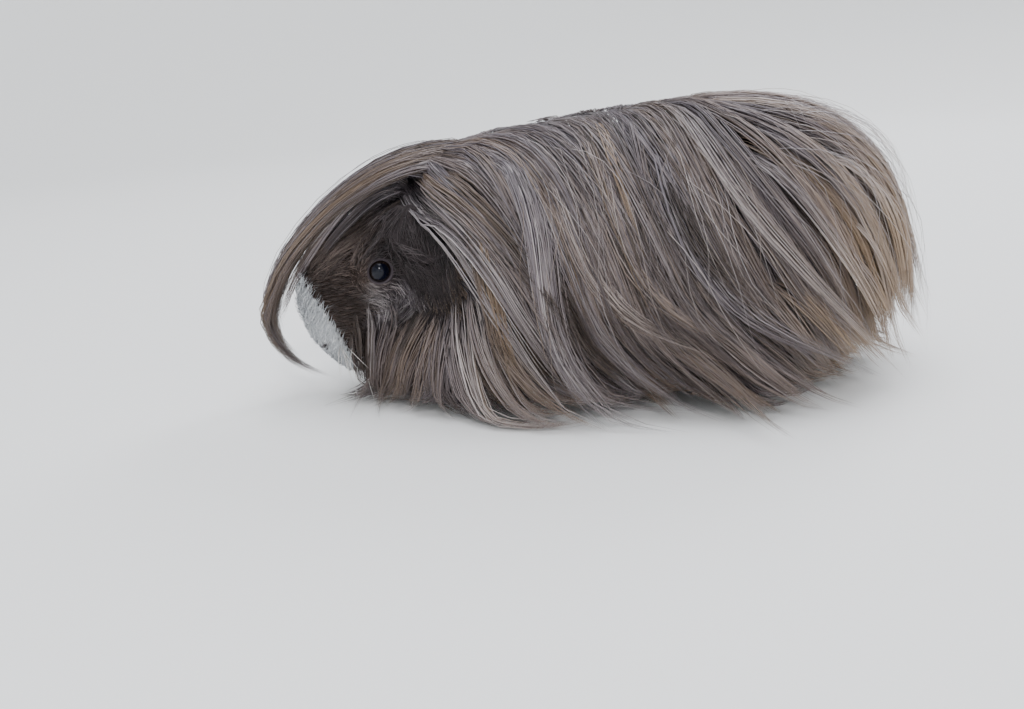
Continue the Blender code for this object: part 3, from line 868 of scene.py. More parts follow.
def makeStrands(name, points, outward, widths, look, material, flat=0.6):
    # points are strands by rings; look is each strand's tone and gold, and for the long coat also how
    # far along its colours it starts, past or into the painted root shade, and its change at the tip: where
    # positive, more golden and lighter, the lighter part a painted highlight; where negative, darker, a
    # painted shade
    count, rings = points.shape[:2]
    tangents = unit(np.gradient(points, axis=1))
    outward = unit(outward - (outward * tangents).sum(-1, keepdims=True) * tangents)
    half = widths[..., None] / 2
    across, ridge = np.cross(tangents, outward) * half, outward * half * 2 * flat
    corners = np.stack((points - across, points + across, points + ridge), 2)
    verts = np.concatenate((corners[:, :-1].reshape(count, -1, 3), points[:, -1:]), 1)
    perStrand = verts.shape[1]
    pattern = strandPattern(rings)
    loops = np.array([i for face in pattern for i in face])
    starts = np.cumsum([0] + [len(face) for face in pattern[:-1]])
    offsets = np.arange(count)[:, None]
    mesh = bpy.data.meshes.new(name)
    mesh.vertices.add(count * perStrand)
    mesh.vertices.foreach_set("co", verts.astype(np.float32).ravel())
    mesh.loops.add(count * len(loops))
    mesh.loops.foreach_set("vertex_index", (loops + offsets * perStrand).astype(np.int32).ravel())
    mesh.polygons.add(count * len(pattern))
    mesh.polygons.foreach_set("loop_start", (starts + offsets * len(loops)).astype(np.int32).ravel())
    mesh.update(calc_edges=True)
    mesh.polygons.foreach_set("use_smooth", np.ones(count * len(pattern), bool))
    ringOf = np.append(np.repeat(np.arange(rings - 1), 3), rings - 1) / (rings - 1)
    acrossOf = np.append(np.tile((0.0, 1.0, 0.5), rings - 1), 0.5)
    corner = np.stack((acrossOf[loops] - 0.5, ringOf[loops] - 0.5), -1)
    patch = skinUnwrap(points[:, 0])[:, None] + strandSettings["patch"] * corner
    mesh.uv_layers.new(name="OFBake").uv.foreach_set("vector", patch.astype(np.float32).ravel())

    def addAttribute(key, values):
        attribute = mesh.attributes.new(key, "FLOAT_VECTOR", "POINT")
        attribute.data.foreach_set("vector", values.astype(np.float32).ravel())

    addAttribute("rootPlace", np.repeat(points[:, 0], perStrand, 0))
    along = np.tile(ringOf, count)
    tone, gold, *more = np.repeat(look, perStrand, 0).T
    if more:
        later, tipGoldAndPaintedLight = more
        tipGoldAndPaintedLight = tipGoldAndPaintedLight * smoothStep(*strandSettings["goldStretch"], along)
        along = along + (1 - along) * later
        # painted light at the tip: lighter with more gold, darker with less
        tone = np.clip(tone + strandSettings["tipPaintedLight"] * tipGoldAndPaintedLight, 0.02, 1)
        gold = np.maximum(gold + tipGoldAndPaintedLight, 0)
    addAttribute("hairLook", np.stack((tone, along, gold), 1))
    mesh.materials.append(material)
    piece = bpy.data.objects.new(name, mesh)
    bpy.context.scene.collection.objects.link(piece)
    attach(piece, "root")
    return piece


def makeHairMaterial(name, roughness):
    # guinea pig hair: fine smooth keratin with a silky gloss along each strand
    material, tree = newMaterial(name)
    place = addNode(tree, "ShaderNodeAttribute", {"attribute_name": "rootPlace"}).outputs["Vector"]
    look = addNode(tree, "ShaderNodeAttribute", {"attribute_name": "hairLook"}).outputs["Vector"]
    parts = addNode(tree, "ShaderNodeSeparateXYZ", links={0: look}).outputs
    marks = addNode(tree, "ShaderNodeGroup", {"node_tree": coatMarkingsAndShade},
                    {"Place": place, "Tone": parts[0], "Along": parts[1], "Gold": parts[2]})
    addShader(tree, {"Roughness": roughness, "IOR": 1.55}, {"Base Color": marks.outputs[0]})
    return material


longHair = makeHairMaterial("silkyLongHair", 0.42)
shortHair = makeHairMaterial("shortFaceHair", 0.55)


def strandWidths(count, rings, width, rng, taper=0.5):
    t = np.linspace(0, 1, rings)
    profile = (0.6 + 0.4 * np.minimum(t / 0.12, 1)) * (1 - np.clip((t - taper) / (1 - taper), 0, 1) ** 1.6)
    return rng.uniform(0.75, 1.3, (count, 1)) * width * np.maximum(profile, 0.02)


# the long coat of the body: locks laid out in rows, each a flat bundle of strands along its own line

coatSettings = {
    "rings": 11,
    "steps": 33,
    "width": 0.00046,
    "strandsPerLock": 33,       # in a lock of the usual half-width, and the fewest in any
    "usualHalf": 0.0058,
    "fewest": 12,
    "ribbons": 5,               # narrower bundles in a lock
    "shortBelow": 0.074,        # shorter locks make the under coat
    "topmost": (0.90, 80),      # locks that lie and start above these are the topmost
    "foremost": 0.295,          # locks of their own beyond this hang free in front of the ears
    # how deep the roots are, and over what length a lock comes out to its own depth
    "rootDepth": {"topmost": (0.55, 0.85), "outer": 0.35, "inner": 0.0, "foremost": 1.08},
    "settle": {"foremost": 0.048, "other": 0.007},
    "rootWidth": {"foremost": 0.50, "own": 0.45, "row": 0.85},
    "crossing": ((0.001, 0.009), 0.016),    # the topmost start beyond the middle and come back over this
    "flick": (0.05, 0.16, -0.08),           # how far the tips stand out: usual, spread and least
    "turn": (0.024, 4.0, 2.5),  # degrees that locks turn off the lie: in waves of this size, and singly
    "swing": (2, 8),            # degrees that a lock swings from side to side
    "pastHem": (-0.004, 0.030),
    "lateRoots": (40, 0.20, 0.34),          # own locks below and beyond these have spread-out roots
    "ribbonEnds": (0.80, 1.0),
    "ribbonTone": 0.07,
    "ribbonSway": 0.0011,
    "hairEnds": (0.86, 1.0),
    "hairTone": 0.10,
    "narrowing": (0.80, 2.6),   # how much narrower a lock is at its tip, and how late it narrows
    "layers": (-1, 0.4, 0.0011),            # how far in and out of the lock's middle its hairs lie
    "arch": (0.0013, -0.0008),  # how much its middle is raised, and how deep the whole is set
    "hairSway": 0.00025,
    "wave": 0.00022,
    "stray": (0.05, 4.0),       # the share of hairs that stray, and how much more they wave
    # golden tips at the rear, made lighter as well, which is a painted highlight: from and to X, from and to
    # the side, least and added
    "goldenTipsAndHighlight": ((0.072, 0.112), (0.010, 0.045), (0.08, 0.47)),
    # painted shade: the tips under the mane are darker and less golden
    "paintedShadeUnderMane": (0.2265, 0.288, 70, -0.30),       # the tips under the mane are darker
    # where along its colours a lock starts: the topmost start past the painted root shade, the foremost have
    # more of it
    "later": {"foremost": -0.12, "topmost": 0.22, "other": 0.0},
    "lightness": (0.54, 0.43),  # of rows that start above 70 degrees, and of the others
    # lighter or darker, and more golden, by distance round the body
    "tone": ((0.000, 0.030, 0.060, 0.090, 0.130, 0.165, 0.190, 0.220, 0.250),
             (0.06, 0.12, 0.08, -0.14, -0.15, -0.14, -0.10, -0.13, -0.10)),
    "golden": ((0.000, 0.040, 0.060, 0.090, 0.200), (0.18, 0.26, 0.20, 0.04, 0.02)),
    # how many degrees above the hem the hair ends, and how far the lowest rows are tucked in
    "trim": ((0.000, 0.030, 0.050, 0.090, 0.102, 0.120, 0.140, 0.170, 0.200),
             (8, 10, 10, 12, 10, 3, 2, 2, 0)),
    "tuck": ((0.000, 0.035, 0.050, 0.095, 0.110, 0.130), (0.9, 0.7, 0.3, 0.3, 0.8, 1.0)),
    # a row of locks on each side: how many, from and to round the body, lowest and highest root in
    # degrees, length, half-width, and how far out it lies (1 is the outermost)
    "rows": {
        "parting": (60, 0.000, 0.2269, 86.0, 89.6, 0.165, 0.0050, 1.00),
        "back": (40, 0.000, 0.2269, 72, 86, 0.150, 0.0062, 0.90),
        "upperSide": (34, 0.000, 0.2269, 52, 70, 0.135, 0.0064, 0.68),
        "side": (30, 0.000, 0.2269, 32, 52, 0.112, 0.0064, 0.50),
        "lowSide": (28, 0.000, 0.2269, 8, 32, 0.090, 0.0060, 0.40),
        "hem": (26, 0.000, 0.2269, -10, 8, 0.065, 0.0055, 0.40),
        "skirt": (40, 0.000, 0.2269, -20, -4, 0.042, 0.0056, 0.75),
        "crown": (18, 0.2270, 0.2920, 80.5, 89, 0.148, 0.0055, 0.97),
        "cheek": (24, 0.2100, 0.2720, -4, 34, 0.058, 0.0046, 0.84),
        "chest": (17, 0.2280, 0.2790, -22, 4, 0.036, 0.0048, 0.85),
    },
}

# degrees that the hair sweeps back from straight down: a row for each distance round the body from
# the middle of the rear, and a column for each step from the parting (0) to the hem (1)
lieSteps = (0.0, 0.14, 0.36, 0.60, 0.70, 0.80, 0.90, 1.0)
lieTable = {
    0.000: (0, 0, 0, 0, 0, 0, 0, 0),
    0.050: (50, 26, 14, 8, 6, 10, 25, 40),
    0.100: (50, 26, 18, 20, 32, 44, 50, 50),
    0.140: (40, 18, 14, 16, 36, 54, 58, 54),
    0.165: (28, 14, 12, 14, 26, 40, 52, 56),
    0.195: (34, 26, 18, 12, 16, 30, 46, 56),
    0.220: (48, 42, 38, 24, 18, 26, 38, 50),
    0.240: (46, 46, 44, 14, -4, -10, -12, -8),
    0.270: (56, 54, 50, -2, -12, -16, -16, -12),
    0.306: (60, 56, 50, -6, -12, -14, -14, -10),
}

# locks with a line of their own, on the side given (-1 left, 1 right): distance round the body and
# root angle, length, half-width, the sweep at even steps from root to tip, lift, tone and gold, and
# for some how far the tip stands out
ownLocks = (
    (-1, 0.303, 70, 0.152, 0.0036, (80, 68, 54, 43, 34, 28, 32, 44, 56), 1.34, 0.56, 0.08),
    (-1, 0.302, 74, 0.156, 0.0044, (70, 56, 45, 38, 30, 27, 32, 44, 56), 1.06, 0.70, 0.08),
    (-1, 0.297, 76, 0.156, 0.0046, (66, 52, 42, 37, 30, 26, 32, 44, 58), 1.06, 0.62, 0.10),
    (-1, 0.290, 77, 0.134, 0.0050, (60, 50, 41, 36, 31, 27, 28, 36), 1.05, 0.48, 0.20),
    (-1, 0.280, 78, 0.122, 0.0054, (54, 46, 40, 36, 31, 27, 26), 1.02, 0.32, 0.30),
    (-1, 0.262, 75, 0.112, 0.0056, (40, 42, 40, 36, 28, 24), 1.01, 0.28, 0.30),
    (-1, 0.246, 77, 0.112, 0.0056, (38, 38, 36, 32, 24, 20), 1.00, 0.28, 0.25),
    (-1, 0.231, 78, 0.120, 0.0060, (36, 34, 30, 20, 12, 16, 30), 1.00, 0.38, 0.12),
    (-1, 0.2105, 76, 0.158, 0.0060, (28, 23, 12, 2, 4, 22, 46, 68, 77), 1.13, 0.60, 0.03),
    (-1, 0.2078, 75, 0.154, 0.0060, (28, 23, 12, 2, 4, 22, 46, 68, 77), 1.13, 0.54, 0.06),
    (-1, 0.191, 66, 0.125, 0.0050, (18, 14, 14, 24, 44, 66, 74, 78), 1.05, 0.66, 0.26),
    (-1, 0.178, 80, 0.150, 0.0052, (14, 10, 10, 16, 36, 60, 72, 76), 1.04, 0.60, 0.10),
    (-1, 0.169, 82, 0.085, 0.0026, (5, 7, 10, 14, 20), 1.04, 0.60, 0.42),
    (-1, 0.157, 84, 0.158, 0.0050, (0, 0, 4, 10, 20, 42, 62, 66), 1.04, 0.42, 0.00),
    (-1, 0.149, 72, 0.150, 0.0056, (4, 8, 12, 22, 46, 60, 64, 66), 1.05, 0.52, 0.00),
    (-1, 0.140, 84, 0.158, 0.0056, (16, 16, 22, 30, 36, 38, 42), 1.04, 0.66, 0.10),
    (-1, 0.124, 84, 0.162, 0.0056, (48, 36, 22, 14, 10, 10, 14, 20), 1.04, 0.78, 0.32),
    (-1, 0.110, 62, 0.125, 0.0056, (24, 22, 24, 28, 32, 38), 1.05, 0.56, 0.10),
    # the next five locks are dark, partly dark hair and partly painted shade, where the coat lies in shade
    # between longer locks
    (-1, 0.153, 64, 0.086, 0.0060, (8, 14, 26, 44), 1.08, 0.20, 0.00),
    (-1, 0.146, 62, 0.080, 0.0060, (10, 18, 32, 48), 1.08, 0.16, 0.00),
    (-1, 0.160, 58, 0.070, 0.0056, (8, 14, 26, 42), 1.07, 0.24, 0.05),
    (-1, 0.222, 58, 0.082, 0.0052, (12, 6, 8, 20), 1.07, 0.18, 0.22),
    (-1, 0.216, 55, 0.074, 0.0050, (10, 4, 8, 22), 1.07, 0.22, 0.30),
    (-1, 0.056, 52, 0.088, 0.0056, (14, 10, 6, 2, -2), 1.06, 0.92, 0.44),
    (-1, 0.049, 46, 0.080, 0.0052, (12, 9, 4, 0, -4), 1.07, 0.96, 0.50),
    (-1, 0.040, 40, 0.074, 0.0046, (8, 5, 2, 0, 4), 1.07, 0.92, 0.50),
    (-1, 0.064, 36, 0.072, 0.0050, (20, 18, 22, 28, 34), 1.05, 0.84, 0.44),
    (-1, 0.070, 26, 0.052, 0.0046, (24, 24, 26, 30), 1.04, 0.64, 0.34),
    (-1, 0.118, 25, 0.058, 0.0046, (30, 34, 36, 34, 30), 1.04, 0.42, 0.14),
    (-1, 0.106, 23, 0.052, 0.0042, (36, 38, 38, 34, 32), 1.04, 0.40, 0.20),
    (-1, 0.090, 16, 0.054, 0.0040, (38, 42, 44, 46), 1.06, 0.44, 0.18),
    (-1, 0.131, 10, 0.060, 0.0042, (46, 48, 52, 56), 1.06, 0.38, 0.12, 0.25),
    (-1, 0.163, 16, 0.064, 0.0050, (44, 50, 54, 54), 1.06, 0.34, 0.12, 0.26),
    (-1, 0.157, 11, 0.060, 0.0046, (42, 48, 54, 56), 1.08, 0.30, 0.14, 0.26),
    (-1, 0.150, 20, 0.073, 0.0048, (46, 46, 48, 52), 1.04, 0.42, 0.06, 0.30),
    (-1, 0.231, 33, 0.084, 0.0050, (-8, -2, 10, 28, 48, 58), 1.06, 0.56, 0.16),
    (-1, 0.227, 29, 0.092, 0.0052, (-4, 2, 16, 36, 52, 60), 1.12, 0.72, 0.16),
    (-1, 0.222, 31, 0.088, 0.0050, (0, 8, 22, 42, 56, 62), 1.06, 0.60, 0.22),
    (-1, 0.216, 26, 0.078, 0.0050, (6, 14, 30, 48, 58, 62), 1.02, 0.42, 0.30),
    (-1, 0.235, 36, 0.066, 0.0046, (-10, -10, -4, 6, 10), 1.04, 0.46, 0.14),
    (-1, 0.240, 35, 0.060, 0.0044, (-12, -12, -8, -2), 1.05, 0.42, 0.28),
    (-1, 0.246, 34, 0.058, 0.0044, (-12, -16, -14, -8), 1.03, 0.36, 0.26),
    (-1, 0.253, 32, 0.056, 0.0042, (-10, -14, -14, -10), 1.02, 0.32, 0.14),
    (-1, 0.260, 27, 0.050, 0.0042, (-6, -10, -12, -10), 1.01, 0.34, 0.16),
    (-1, 0.268, 20, 0.043, 0.0046, (-2, -6, -10), 1.00, 0.30, 0.10),
    (-1, 0.272, 22, 0.044, 0.0046, (0, -3, -6), 1.02, 0.34, 0.12),
    (-1, 0.275, 14, 0.037, 0.0044, (2, -2, -6), 0.99, 0.28, 0.14),
    (-1, 0.278, 24, 0.046, 0.0044, (4, 2, 0), 1.02, 0.36, 0.10),
    (-1, 0.281, 14, 0.044, 0.0044, (6, 4, 6), 1.02, 0.28, 0.10),
    (-1, 0.283, 19, 0.048, 0.0044, (8, 6, 4), 1.03, 0.32, 0.12),
    (-1, 0.284, 10, 0.042, 0.0044, (12, 8, 6), 1.02, 0.22, 0.10),
    (-1, 0.286, 13, 0.043, 0.0042, (16, 12, 10), 1.02, 0.20, 0.10),
    (-1, 0.288, 6, 0.039, 0.0040, (22, 18, 14), 1.02, 0.20, 0.08),
    (-1, 0.2785, 12, 0.042, 0.0044, (4, 4, 6), 1.00, 0.28, 0.12),
    (-1, 0.2800, 8, 0.040, 0.0044, (6, 4, 6), 1.00, 0.26, 0.10),
    (-1, 0.2830, 2, 0.036, 0.0044, (8, 6, 6), 1.00, 0.24, 0.10),
    (-1, 0.2850, 0, 0.034, 0.0044, (12, 10, 8), 0.98, 0.24, 0.10),
    (1, 0.276, 18, 0.040, 0.0044, (2, 0, -4), 1.02, 0.34, 0.10),
    (1, 0.281, 15, 0.038, 0.0044, (6, 2, 0), 1.03, 0.30, 0.12),
    (1, 0.285, 10, 0.035, 0.0042, (12, 8, 4), 1.04, 0.28, 0.12),
    (-1, 0.251, 45, 0.046, 0.0052, (4, -4, -8), 1.05, 0.26, 0.22),
    (-1, 0.260, 41, 0.044, 0.0050, (2, -6, -10), 1.04, 0.22, 0.28),
    (-1, 0.243, 47, 0.050, 0.0052, (8, 2, 0), 1.05, 0.24, 0.20),
    (1, 0.251, 45, 0.046, 0.0052, (4, -4, -8), 1.05, 0.26, 0.22),
    (1, 0.261, 41, 0.044, 0.0050, (2, -6, -10), 1.04, 0.22, 0.28),
    (-1, 0.243, 14, 0.040, 0.0050, (-4, -4, 0), 1.04, 0.36, 0.06),
    (-1, 0.256, 10, 0.038, 0.0048, (-6, -6, -2), 1.04, 0.34, 0.10),
    (-1, 0.234, 10, 0.038, 0.0050, (2, 6, 10), 1.04, 0.44, 0.08),
    (1, 0.300, 75, 0.156, 0.0046, (68, 56, 46, 38, 30, 27, 32, 44, 56), 1.10, 0.72, 0.00),
    (1, 0.290, 77, 0.156, 0.0050, (60, 52, 44, 37, 30, 26, 32, 46, 60), 1.12, 0.64, 0.05),
    (1, 0.281, 78, 0.156, 0.0052, (54, 48, 42, 36, 30, 26, 36, 48, 60), 1.10, 0.76, 0.00),
    (1, 0.270, 74, 0.140, 0.0056, (40, 42, 38, 32, 24, 30, 46, 60), 1.08, 0.64, 0.05),
    (1, 0.238, 78, 0.148, 0.0060, (34, 30, 24, 14, 14, 36, 58, 70), 1.06, 0.78, 0.00),
    (1, 0.203, 76, 0.150, 0.0056, (22, 16, 8, 4, 14, 40, 62, 72), 1.06, 0.68, 0.10),
    (1, 0.170, 80, 0.150, 0.0056, (10, 6, 8, 22, 46, 64, 70), 1.05, 0.72, 0.00),
    (1, 0.132, 84, 0.150, 0.0056, (42, 32, 24, 30, 50, 62), 1.05, 0.62, 0.10),
    (1, 0.225, 28, 0.084, 0.0048, (-2, 6, 24, 42, 54), 1.06, 0.60, 0.10),
    (1, 0.236, 46, 0.084, 0.0056, (14, 6, 2, 10, 28, 44), 1.02, 0.50, 0.10),
    (1, 0.226, 30, 0.080, 0.0050, (-4, 6, 24, 42, 52), 1.08, 0.64, 0.20),
    (1, 0.238, 35, 0.064, 0.0046, (-10, -12, -6, 4), 1.05, 0.62, 0.10),
    (1, 0.247, 32, 0.060, 0.0044, (-12, -18, -20, -16), 1.04, 0.52, 0.15),
    (1, 0.256, 24, 0.050, 0.0042, (-8, -16, -20), 1.02, 0.50, 0.05),
    (1, 0.268, 12, 0.038, 0.0038, (-4, -10, -16), 0.98, 0.44, 0.05),
    (1, 0.243, 12, 0.040, 0.0050, (-4, -2, 2), 1.04, 0.48, 0.00),
)


def lieOfCoat(s, angle):
    low = np.interp(s, roundGrid, hemAngles)
    v = np.clip((pi / 2 - angle) / (pi / 2 - low), 0, 1)
    far = np.abs(s)
    distances = sorted(lieTable)
    rows = [np.interp(v, lieSteps, lieTable[distance]) for distance in distances]
    total = 0
    for i, row in enumerate(rows):
        weight = np.interp(far, distances, [1.0 if k == i else 0.0 for k in range(len(rows))])
        total = total + weight * row
    return total


def growPaths(s0, angle0, lengths, steps, sweepOf):
    # follow the lie of the coat from each root; near the hem the hair turns along the floor
    s, angle = s0.copy(), angle0.copy()
    step = lengths / steps
    backwards = -np.sign(s0)
    sPath, anglePath = [s], [angle]
    for k in range(1, steps + 1):
        sweep = np.radians(sweepOf(s, angle, k / steps))
        low = np.interp(s, roundGrid, hemAngles)
        free = smoothStep(0.0, radians(9), angle - low)
        down = np.cos(sweep) * free
        along = np.sqrt(np.maximum(1 - down ** 2, 0)) * np.where(np.sin(sweep) < 0, -1, 1)
        s = s + backwards * along * step / sampleGrid(stretchS, s, angle)
        angle = np.maximum(angle - down * step / sampleGrid(stretchA, s, angle), low - radians(1.5))
        sPath.append(s)
        anglePath.append(angle)
    return np.stack(sPath, 1), np.stack(anglePath, 1)


def waves(rng, s, angle, size, amount):
    # a smooth random field, the same for neighbours
    total = 0
    for _ in range(5):
        ks, ka, start = rng.normal(0, 1 / size), rng.normal(0, 0.07 / size), rng.uniform(0, 2 * pi)
        total = total + np.sin(ks * s + ka * angle + start)
    return amount * total / 2


def layOutLocks(rng):
    # rows of locks that follow the lie of the coat, then the locks with a line of their own
    settings = coatSettings
    rows = []
    for count, near, far, lowest, highest, length, half, lift in settings["rows"].values():
        lightness = settings["lightness"][0 if lowest > 70 else 1]
        for sign in (-1, 1):
            for i in range(count):
                s = near + (far - near) * (i + rng.uniform(0.1, 0.9)) / count
                tuck = np.interp(s, *settings["tuck"]) if lowest < 0 else 1.0
                rows.append((sign * max(s, 0.0015), radians(rng.uniform(lowest, highest)),
                             length * rng.uniform(0.85, 1.1), half * rng.uniform(0.7, 1.3),
                             tuck * lift + rng.normal(0, 0.045),
                             lightness + np.interp(s, *settings["tone"]) + rng.normal(0, 0.12),
                             np.interp(s, *settings["golden"]) + max(0.0, rng.normal(-0.08, 0.14)), 0.0))
    inRows = len(rows)
    for sign, s, degrees, length, half, _, lift, tone, gold, *tipOut in ownLocks:
        rows.append((sign * s, radians(degrees), length, half, lift, tone, gold, *(tipOut or [0.0])))
    names = ("s", "angle", "length", "half", "lift", "tone", "gold", "tipOut")
    locks = dict(zip(names, np.array(rows).T))
    highLift, highRoot = settings["topmost"]
    locks["own"] = np.arange(len(rows)) >= inRows
    locks["topmost"] = (locks["lift"] > highLift) & (locks["angle"] > radians(highRoot))
    locks["foremost"] = locks["own"] & (np.abs(locks["s"]) > settings["foremost"])
    return locks


def traceLocks(rng, locks):
    # each lock's middle line, which way is outwards and across there, and where its hair ends
    settings, steps = coatSettings, coatSettings["steps"]
    s0, angle0, lengths, lift = (locks[name] for name in ("s", "angle", "length", "lift"))
    own, topmost, foremost = (locks[name] for name in ("own", "topmost", "foremost"))
    count = len(s0)
    waveSize, inWaves, singly = settings["turn"]
    turn = waves(rng, s0, angle0, waveSize, inWaves) + rng.normal(0, singly, count)
    swing = rng.uniform(*settings["swing"], count)
    swingStart = waves(rng, s0, angle0, 0.030, 2.0) + rng.normal(0, 0.7, count)

    def sweepOf(s, angle, t):
        damp = np.clip(np.abs(s) / rearEnd, 0.25, 1)
        sweep = lieOfCoat(s, angle) + (turn + swing * np.sin(swingStart + 2 * pi * t)) * damp
        sweep[own] = [np.interp(t, np.linspace(0, 1, len(lock[5])), lock[5]) for lock in ownLocks]
        return sweep

    s, angle = growPaths(s0, angle0, lengths, steps, sweepOf)
    low = np.interp(s, roundGrid, hemAngles)
    # a lock ends soon after it comes to the floor
    short = (lengths < settings["shortBelow"])[:, None]
    trim = np.where(short, 0, np.interp(np.abs(s), *settings["trim"]))
    atHem = (angle - low) < np.radians(4 + trim)
    reach = np.where(atHem.any(1), np.argmax(atHem, 1), steps) / steps
    pastHem = rng.uniform(*settings["pastHem"], count) * (0.25 + 0.75 * smoothStep(0.04, 0.12, np.abs(s0)))
    ends = np.where(own, 1.0, np.clip(reach + pastHem / lengths, 0.20, 1.0))
    # from its root's depth a lock soon comes out to its own, and lies closer to the outline lower down
    u = np.linspace(0, 1, steps + 1)[None]
    travel = u * lengths[:, None]
    v = np.clip((pi / 2 - angle) / (pi / 2 - low), 0, 1)
    depth = 1 - (1 - lift[:, None]) * (1 - 0.55 * v)
    roots, settle = settings["rootDepth"], settings["settle"]
    start = np.where(lift > 0.94, roots["outer"], roots["inner"])
    start = np.where(topmost, rng.uniform(*roots["topmost"], count), start)
    start = np.where(foremost, roots["foremost"], start)[:, None]
    settle = np.where(foremost, settle["foremost"], settle["other"])[:, None]
    depth = start + (depth - start) * (1 - np.exp(-travel / settle))
    usual, spread, least = settings["flick"]
    flick = np.maximum(rng.normal(usual, spread, count), least)[:, None]
    depth += flick * smoothStep(0.65, 1.0, u / ends[:, None])
    depth += locks["tipOut"][:, None] * smoothStep(0.35, 1.0, u) ** 1.5
    guide, ray = shellPoint(s, angle, depth)
    # the topmost locks start a little beyond the middle, so the two sides close over it
    crossing, comeBack = settings["crossing"]
    beyond = np.where(topmost, rng.uniform(*crossing, count), 0.0)[:, None]
    guide[..., 1] -= np.sign(s0)[:, None] * beyond * np.exp(-travel / comeBack)
    tangent = unit(np.gradient(guide, axis=1))
    outward = unit(ray - (ray * tangent).sum(-1, keepdims=True) * tangent)
    return guide, outward, np.cross(tangent, outward), ends


def alongPath(path, owner, u):
    # the values of each strand's lock line at the fractions u of its length
    place = np.clip(u, 0, 0.9999) * (path.shape[1] - 1)
    i = place.astype(int)
    f = place - i
    if path.ndim == 3:
        f = f[..., None]
    return path[owner[:, None], i] * (1 - f) + path[owner[:, None], i + 1] * f


def fillLocks(rng, locks, guide, outward, across, ends):
    # the strands of each lock, drawn together into a few ribbons towards the tip
    settings, rings, ribbons = coatSettings, coatSettings["rings"], coatSettings["ribbons"]
    s0, angle0, half = (locks[name] for name in ("s", "angle", "half"))
    own, topmost, foremost = (locks[name] for name in ("own", "topmost", "foremost"))
    perLock = np.maximum(settings["strandsPerLock"] * half / settings["usualHalf"], settings["fewest"])
    owner = np.repeat(np.arange(len(s0)), perLock.astype(int))
    count = len(owner)
    ribbon = rng.integers(0, ribbons, count)

    def perRibbon(draw, *limits):
        return draw(*limits, (len(s0), ribbons))[owner, ribbon]

    def perStrand(values):
        return values[owner][:, None]

    ribbonPlace = perRibbon(rng.uniform, -0.95, 0.95)
    ribbonEnd = perRibbon(rng.uniform, *settings["ribbonEnds"])
    ribbonTone = perRibbon(rng.normal, 0, settings["ribbonTone"])
    ribbonSway = perRibbon(rng.normal, 0, settings["ribbonSway"])
    side0 = rng.uniform(-1, 1, count)
    t = np.linspace(0, 1, rings)[None] ** 1.15
    lowRoot, forward, spread = settings["lateRoots"]
    lateRoots = own & (angle0 < radians(lowRoot)) & (np.abs(s0) > forward)
    rootSpread = np.where(lateRoots, spread, np.where(foremost | ~own, 0.07, 0.02))
    begin = rng.uniform(0, 1, count) ** 1.5 * rootSpread[owner]
    finish = ends[owner] * ribbonEnd * rng.uniform(*settings["hairEnds"], count)
    along = begin[:, None] + (finish - begin)[:, None] * t
    gathered = along / perStrand(ends)
    side = side0[:, None] + (ribbonPlace - side0)[:, None] * rng.uniform(0.3, 0.9, count)[:, None] * t ** 0.8
    widthsAt = settings["rootWidth"]
    rootWidth = perStrand(np.where(foremost, widthsAt["foremost"],
                                   np.where(own, widthsAt["own"], widthsAt["row"])))
    narrower, late = settings["narrowing"]
    wide = perStrand(half) * (1 - narrower * np.clip(gathered, 0, 1) ** late)
    wide *= rootWidth + (1 - rootWidth) * smoothStep(0, 0.22, gathered)
    inmost, outmost, layer = settings["layers"]
    arch, sunk = settings["arch"]
    thick = rng.uniform(inmost, outmost, count)[:, None] * layer + arch * (1 - side ** 2) + sunk
    sway = ribbonSway[:, None] * np.sin(pi * t) + rng.normal(0, settings["hairSway"], (count, 1)) * t
    place, out, over = (alongPath(path, owner, along) for path in (guide, outward, across))
    points = place + over * (side * wide + sway)[..., None]
    points += out * (thick * smoothStep(0, 0.15, t))[..., None]
    # every hair waves a little, and a few stray
    share, further = settings["stray"]
    stray = np.where(rng.random(count) < share, further, 1.0)[:, None, None]
    aside = rng.normal(0, 1, (count, 1, 3))
    turns = t * rng.uniform(0.5, 1.4, (count, 1)) + rng.uniform(0, 1, (count, 1))
    points += settings["wave"] * aside * np.sin(2 * pi * turns)[..., None] * stray * t[..., None]
    points[..., 2] = np.maximum(points[..., 2], 0.0006 + 0.0012 * rng.random((count, 1)))
    facing = unit(out + over * (0.5 * side)[..., None])
    shade = locks["tone"][owner] + ribbonTone + rng.normal(0, settings["hairTone"], count)
    shade = np.clip(shade, 0.02, 1)
    warm = np.clip(locks["gold"][owner] + rng.normal(0, 0.04, count), 0, 0.75)
    # painted highlight: the rear tips turn golden and lighter, more so on the sides
    rearward, sideward, (least, added) = settings["goldenTipsAndHighlight"]
    tipX, tipY = points[:, -3, 0], np.abs(points[:, -3, 1])
    tipGoldAndPaintedLight = smoothStep(*rearward, tipX) * (least + added * smoothStep(*sideward, tipY))
    # painted shade under the mane: the tips of the crown and mane locks turn darker
    near, far, highRoot, darker = settings["paintedShadeUnderMane"]
    paintedShadeUnderMane = (np.abs(s0) > near) & (np.abs(s0) < far) & (angle0 > radians(highRoot))
    tipGoldAndPaintedLight = np.where(paintedShadeUnderMane[owner], darker, tipGoldAndPaintedLight)
    later = settings["later"]
    later = np.where(foremost, later["foremost"], np.where(topmost, later["topmost"], later["other"]))[owner]
    widths = strandWidths(count, rings, settings["width"], rng)
    widths *= np.where(perStrand(foremost), 0.2 + 0.8 * smoothStep(0, 0.2, t), 1.0)
    return owner, points, facing, widths, np.stack((shade, warm, later, tipGoldAndPaintedLight), 1)


